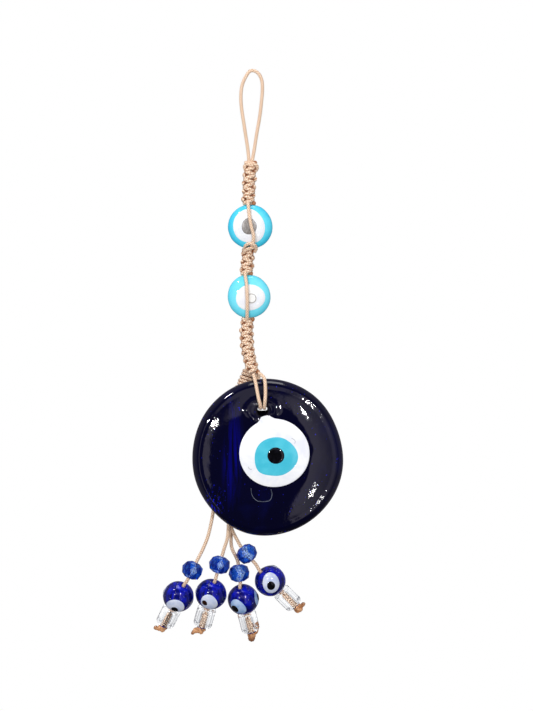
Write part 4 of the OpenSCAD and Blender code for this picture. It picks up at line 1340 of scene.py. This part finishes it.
def end_knot(k):
    """An overhand knot pulled tight into a lump, with the turns of its cord and a short stub."""
    side, up, along = basis(bead_dir[k])
    centre = knot_pos[k]
    made = Builder()
    for i, (place, radius) in enumerate(KNOT_LUMPS[k]):
        rows = []
        for a in np.linspace(0.12, math.pi - 0.12, KNOT_RINGS):
            row = []
            for j in range(KNOT_SIDES):
                t = 2 * math.pi * j / KNOT_SIDES
                d = np.array((math.sin(a) * math.cos(t), math.sin(a) * math.sin(t), math.cos(a)))
                lump = 0.16 * noise.noise(Vector(d * 1.9) + Vector((k, i, 0.3)))
                groove = 0.07 * math.sin(9 * a + 2.0 * math.cos(t) + i)
                row.append(centre + np.array(place) + (radius * KNOT_CORE + lump + groove) * d)
            rows.append(row)
        base = made.grid(rows)
        top = centre + np.array(place) + (0, 0, radius * KNOT_CORE)
        bottom = centre + np.array(place) - (0, 0, radius * KNOT_CORE)
        made.fan(base, KNOT_SIDES, top, flip=True)
        made.fan(base + (KNOT_RINGS - 1) * KNOT_SIDES, KNOT_SIDES, bottom)
    line = []
    for i in range(61):
        t = 2 * math.pi * (0.06 + 0.88 * i / 60)
        x = math.sin(t) + 2 * math.sin(2 * t)
        y = math.cos(t) - 2 * math.cos(2 * t)
        line.append(centre + 0.33 * x * side + 0.33 * y * up - 0.7 * math.sin(3 * t) * along)
    made.tube(even(np.array(line), 0.3), radius=CORD_R * KNOT_CORD)
    stub_line = smooth_line([centre + np.array(p) for p in KNOT_STUBS[k]], 0.2)
    swell = np.interp(np.linspace(0, 1, len(stub_line)), [0, 0.6, 0.85, 1], [1, 1, 1.3, 0.8])
    first = made.count
    made.tube(stub_line, radius=CORD_R * KNOT_CORD, swell=swell)
    piece = made.object(f"end_knot_tied_{k + 1}", melted_cord, origin=centre)
    turn_outwards(piece)
    melt = np.zeros(len(piece.data.vertices), np.float32)
    melt[first:] = np.linspace(0, 1, len(melt) - first) ** 2
    # The third knot's stub starts above it, so there the melted end is its lower side
    if k == 2:
        low = np.array([v.co.z for v in piece.data.vertices]) / MM
        melt = np.clip((-low - 0.3) / 1.2, 0, 1)
    store(piece, "melt", "POINT", melt)
    return stands_for(piece, f"tail_{k + 1}", "melted_cord", f"end_knot_{k + 1}")


for k in range(4):
    crystal(k)
    eye_bead(k)
    tube_bead(k)
    knot = end_knot(k)


# ---------------------------------------------------------------- floor and light

FLOOR_SQUARES = 24
FLOOR_HALF = 800.0
FLOOR_Z = -320.0


def floor():
    """A plain pale floor, as white as what is round it."""
    made = Builder()
    marks = [-FLOOR_HALF + 2 * FLOOR_HALF * i / FLOOR_SQUARES for i in range(FLOOR_SQUARES + 1)]
    made.grid([[(x, y, FLOOR_Z) for x in marks] for y in marks], closed=False)
    p = Paint("floor_white", Roughness=0.8, Emission_Color=(1.0, 1.0, 1.0), Emission_Strength=0.5)
    p.set(Base_Color=p.mix(p.noise(30.0, 3.0), (0.9, 0.9, 0.9), (0.94, 0.94, 0.94)))
    piece = made.object("floor", p.material)
    piece.visible_glossy = False
    piece.visible_diffuse = False


LIGHT_TARGET = (0, 0, -0.1)


def area_light(name, place, size, power):
    """A square light of size metres and power watts, turned towards the ornament."""
    data = bpy.data.lights.new(name, "AREA")
    data.energy = power
    data.size = size
    light = bpy.data.objects.new(name, data)
    light.location = place
    light.rotation_euler = (Vector(LIGHT_TARGET) - Vector(place)).to_track_quat("-Z", "Y").to_euler()
    scene.collection.objects.link(light)


def studio():
    """White all round for what shines through and falls on the object, dim where it is mirrored."""
    world = bpy.data.worlds.new("studio")
    scene.world = world
    world.use_nodes = True
    tree = world.node_tree
    tree.nodes.clear()

    def add(kind, **props):
        node = tree.nodes.new(kind)
        for key, value in props.items():
            setattr(node, key, value)
        return node

    out = add("ShaderNodeOutputWorld")
    path = add("ShaderNodeLightPath")
    coords = add("ShaderNodeTexCoord")
    split = add("ShaderNodeSeparateXYZ")
    tree.links.new(coords.outputs["Generated"], split.inputs[0])

    def ramp(socket, low, high, to_low=0.0, to_high=1.0):
        node = add("ShaderNodeMapRange", interpolation_type="SMOOTHSTEP")
        tree.links.new(socket, node.inputs["Value"])
        for key, number in (("From Min", low), ("From Max", high), ("To Min", to_low), ("To Max", to_high)):
            node.inputs[key].default_value = number
        return node.outputs[0]

    def combine(operation, a, *others):
        for b in others:
            node = add("ShaderNodeMath", operation=operation)
            tree.links.new(a, node.inputs[0])
            tree.links.new(b, node.inputs[1])
            a = node.outputs[0]
        return a

    def background(colour, strength):
        node = add("ShaderNodeBackground")
        node.inputs["Color"].default_value = (*colour, 1)
        if isinstance(strength, float):
            node.inputs["Strength"].default_value = strength
        else:
            tree.links.new(strength, node.inputs["Strength"])
        return node.outputs[0]

    x, y, z = split.outputs
    sides = ramp(y, -0.8, -0.2, 0.03, 0.26)
    below = ramp(z, -0.75, -0.45, 0.15, 1.0)
    # Panels mirrored in the glass: a broad one at the right, a thin one at the left, one above
    right_panel = combine("MULTIPLY", ramp(x, 0.13, 0.15, 0.0, 0.85), ramp(x, 0.6, 0.14, 0.3, 1.0),
                          ramp(z, -0.5, -0.36), ramp(z, 0.5, 0.36))
    left_panel = combine("MULTIPLY", ramp(x, -0.56, -0.52, 0.0, 0.9), ramp(x, -0.42, -0.45),
                         ramp(z, 0.3, 0.2), ramp(z, -0.5, -0.4))
    top_panel = combine("MULTIPLY", ramp(z, 0.17, 0.21, 0.0, 0.6), ramp(z, 0.5, 0.4),
                        ramp(x, -0.3, -0.2), ramp(x, 0.14, 0.1))
    in_front = ramp(y, -0.6, -0.75)
    panels = combine("MULTIPLY", combine("ADD", right_panel, left_panel, top_panel), in_front)
    front = combine("ADD", combine("MULTIPLY", sides, below), panels)
    plain = background((1.0, 1.0, 1.0), 1.0)
    fill = background((1.0, 0.99, 0.98), 0.46)
    mirrored = background((0.92, 0.86, 1.0), front)
    through = add("ShaderNodeMath", operation="MAXIMUM")
    tree.links.new(path.outputs["Is Camera Ray"], through.inputs[0])
    tree.links.new(path.outputs["Is Transmission Ray"], through.inputs[1])
    gloss = add("ShaderNodeMixShader")
    tree.links.new(path.outputs["Is Glossy Ray"], gloss.inputs[0])
    tree.links.new(fill, gloss.inputs[1])
    tree.links.new(mirrored, gloss.inputs[2])
    last = add("ShaderNodeMixShader")
    tree.links.new(through.outputs[0], last.inputs[0])
    tree.links.new(gloss.outputs[0], last.inputs[1])
    tree.links.new(plain, last.inputs[2])
    tree.links.new(last.outputs[0], out.inputs["Surface"])


floor()
studio()
area_light("key_left", (-0.48, -1.02, 0.12), 0.035, 4.2)
area_light("key_right", (0.32, -1.07, 0.18), 0.025, 3.6)
area_light("low_right", (0.34, -1.06, -0.38), 0.02, 0.35)
area_light("high_left", (-0.6, -0.6, 0.72), 0.06, 2.5)
area_light("top", (0.0, -0.2, 0.9), 0.5, 3.0)
scene.view_settings.view_transform = "Standard"
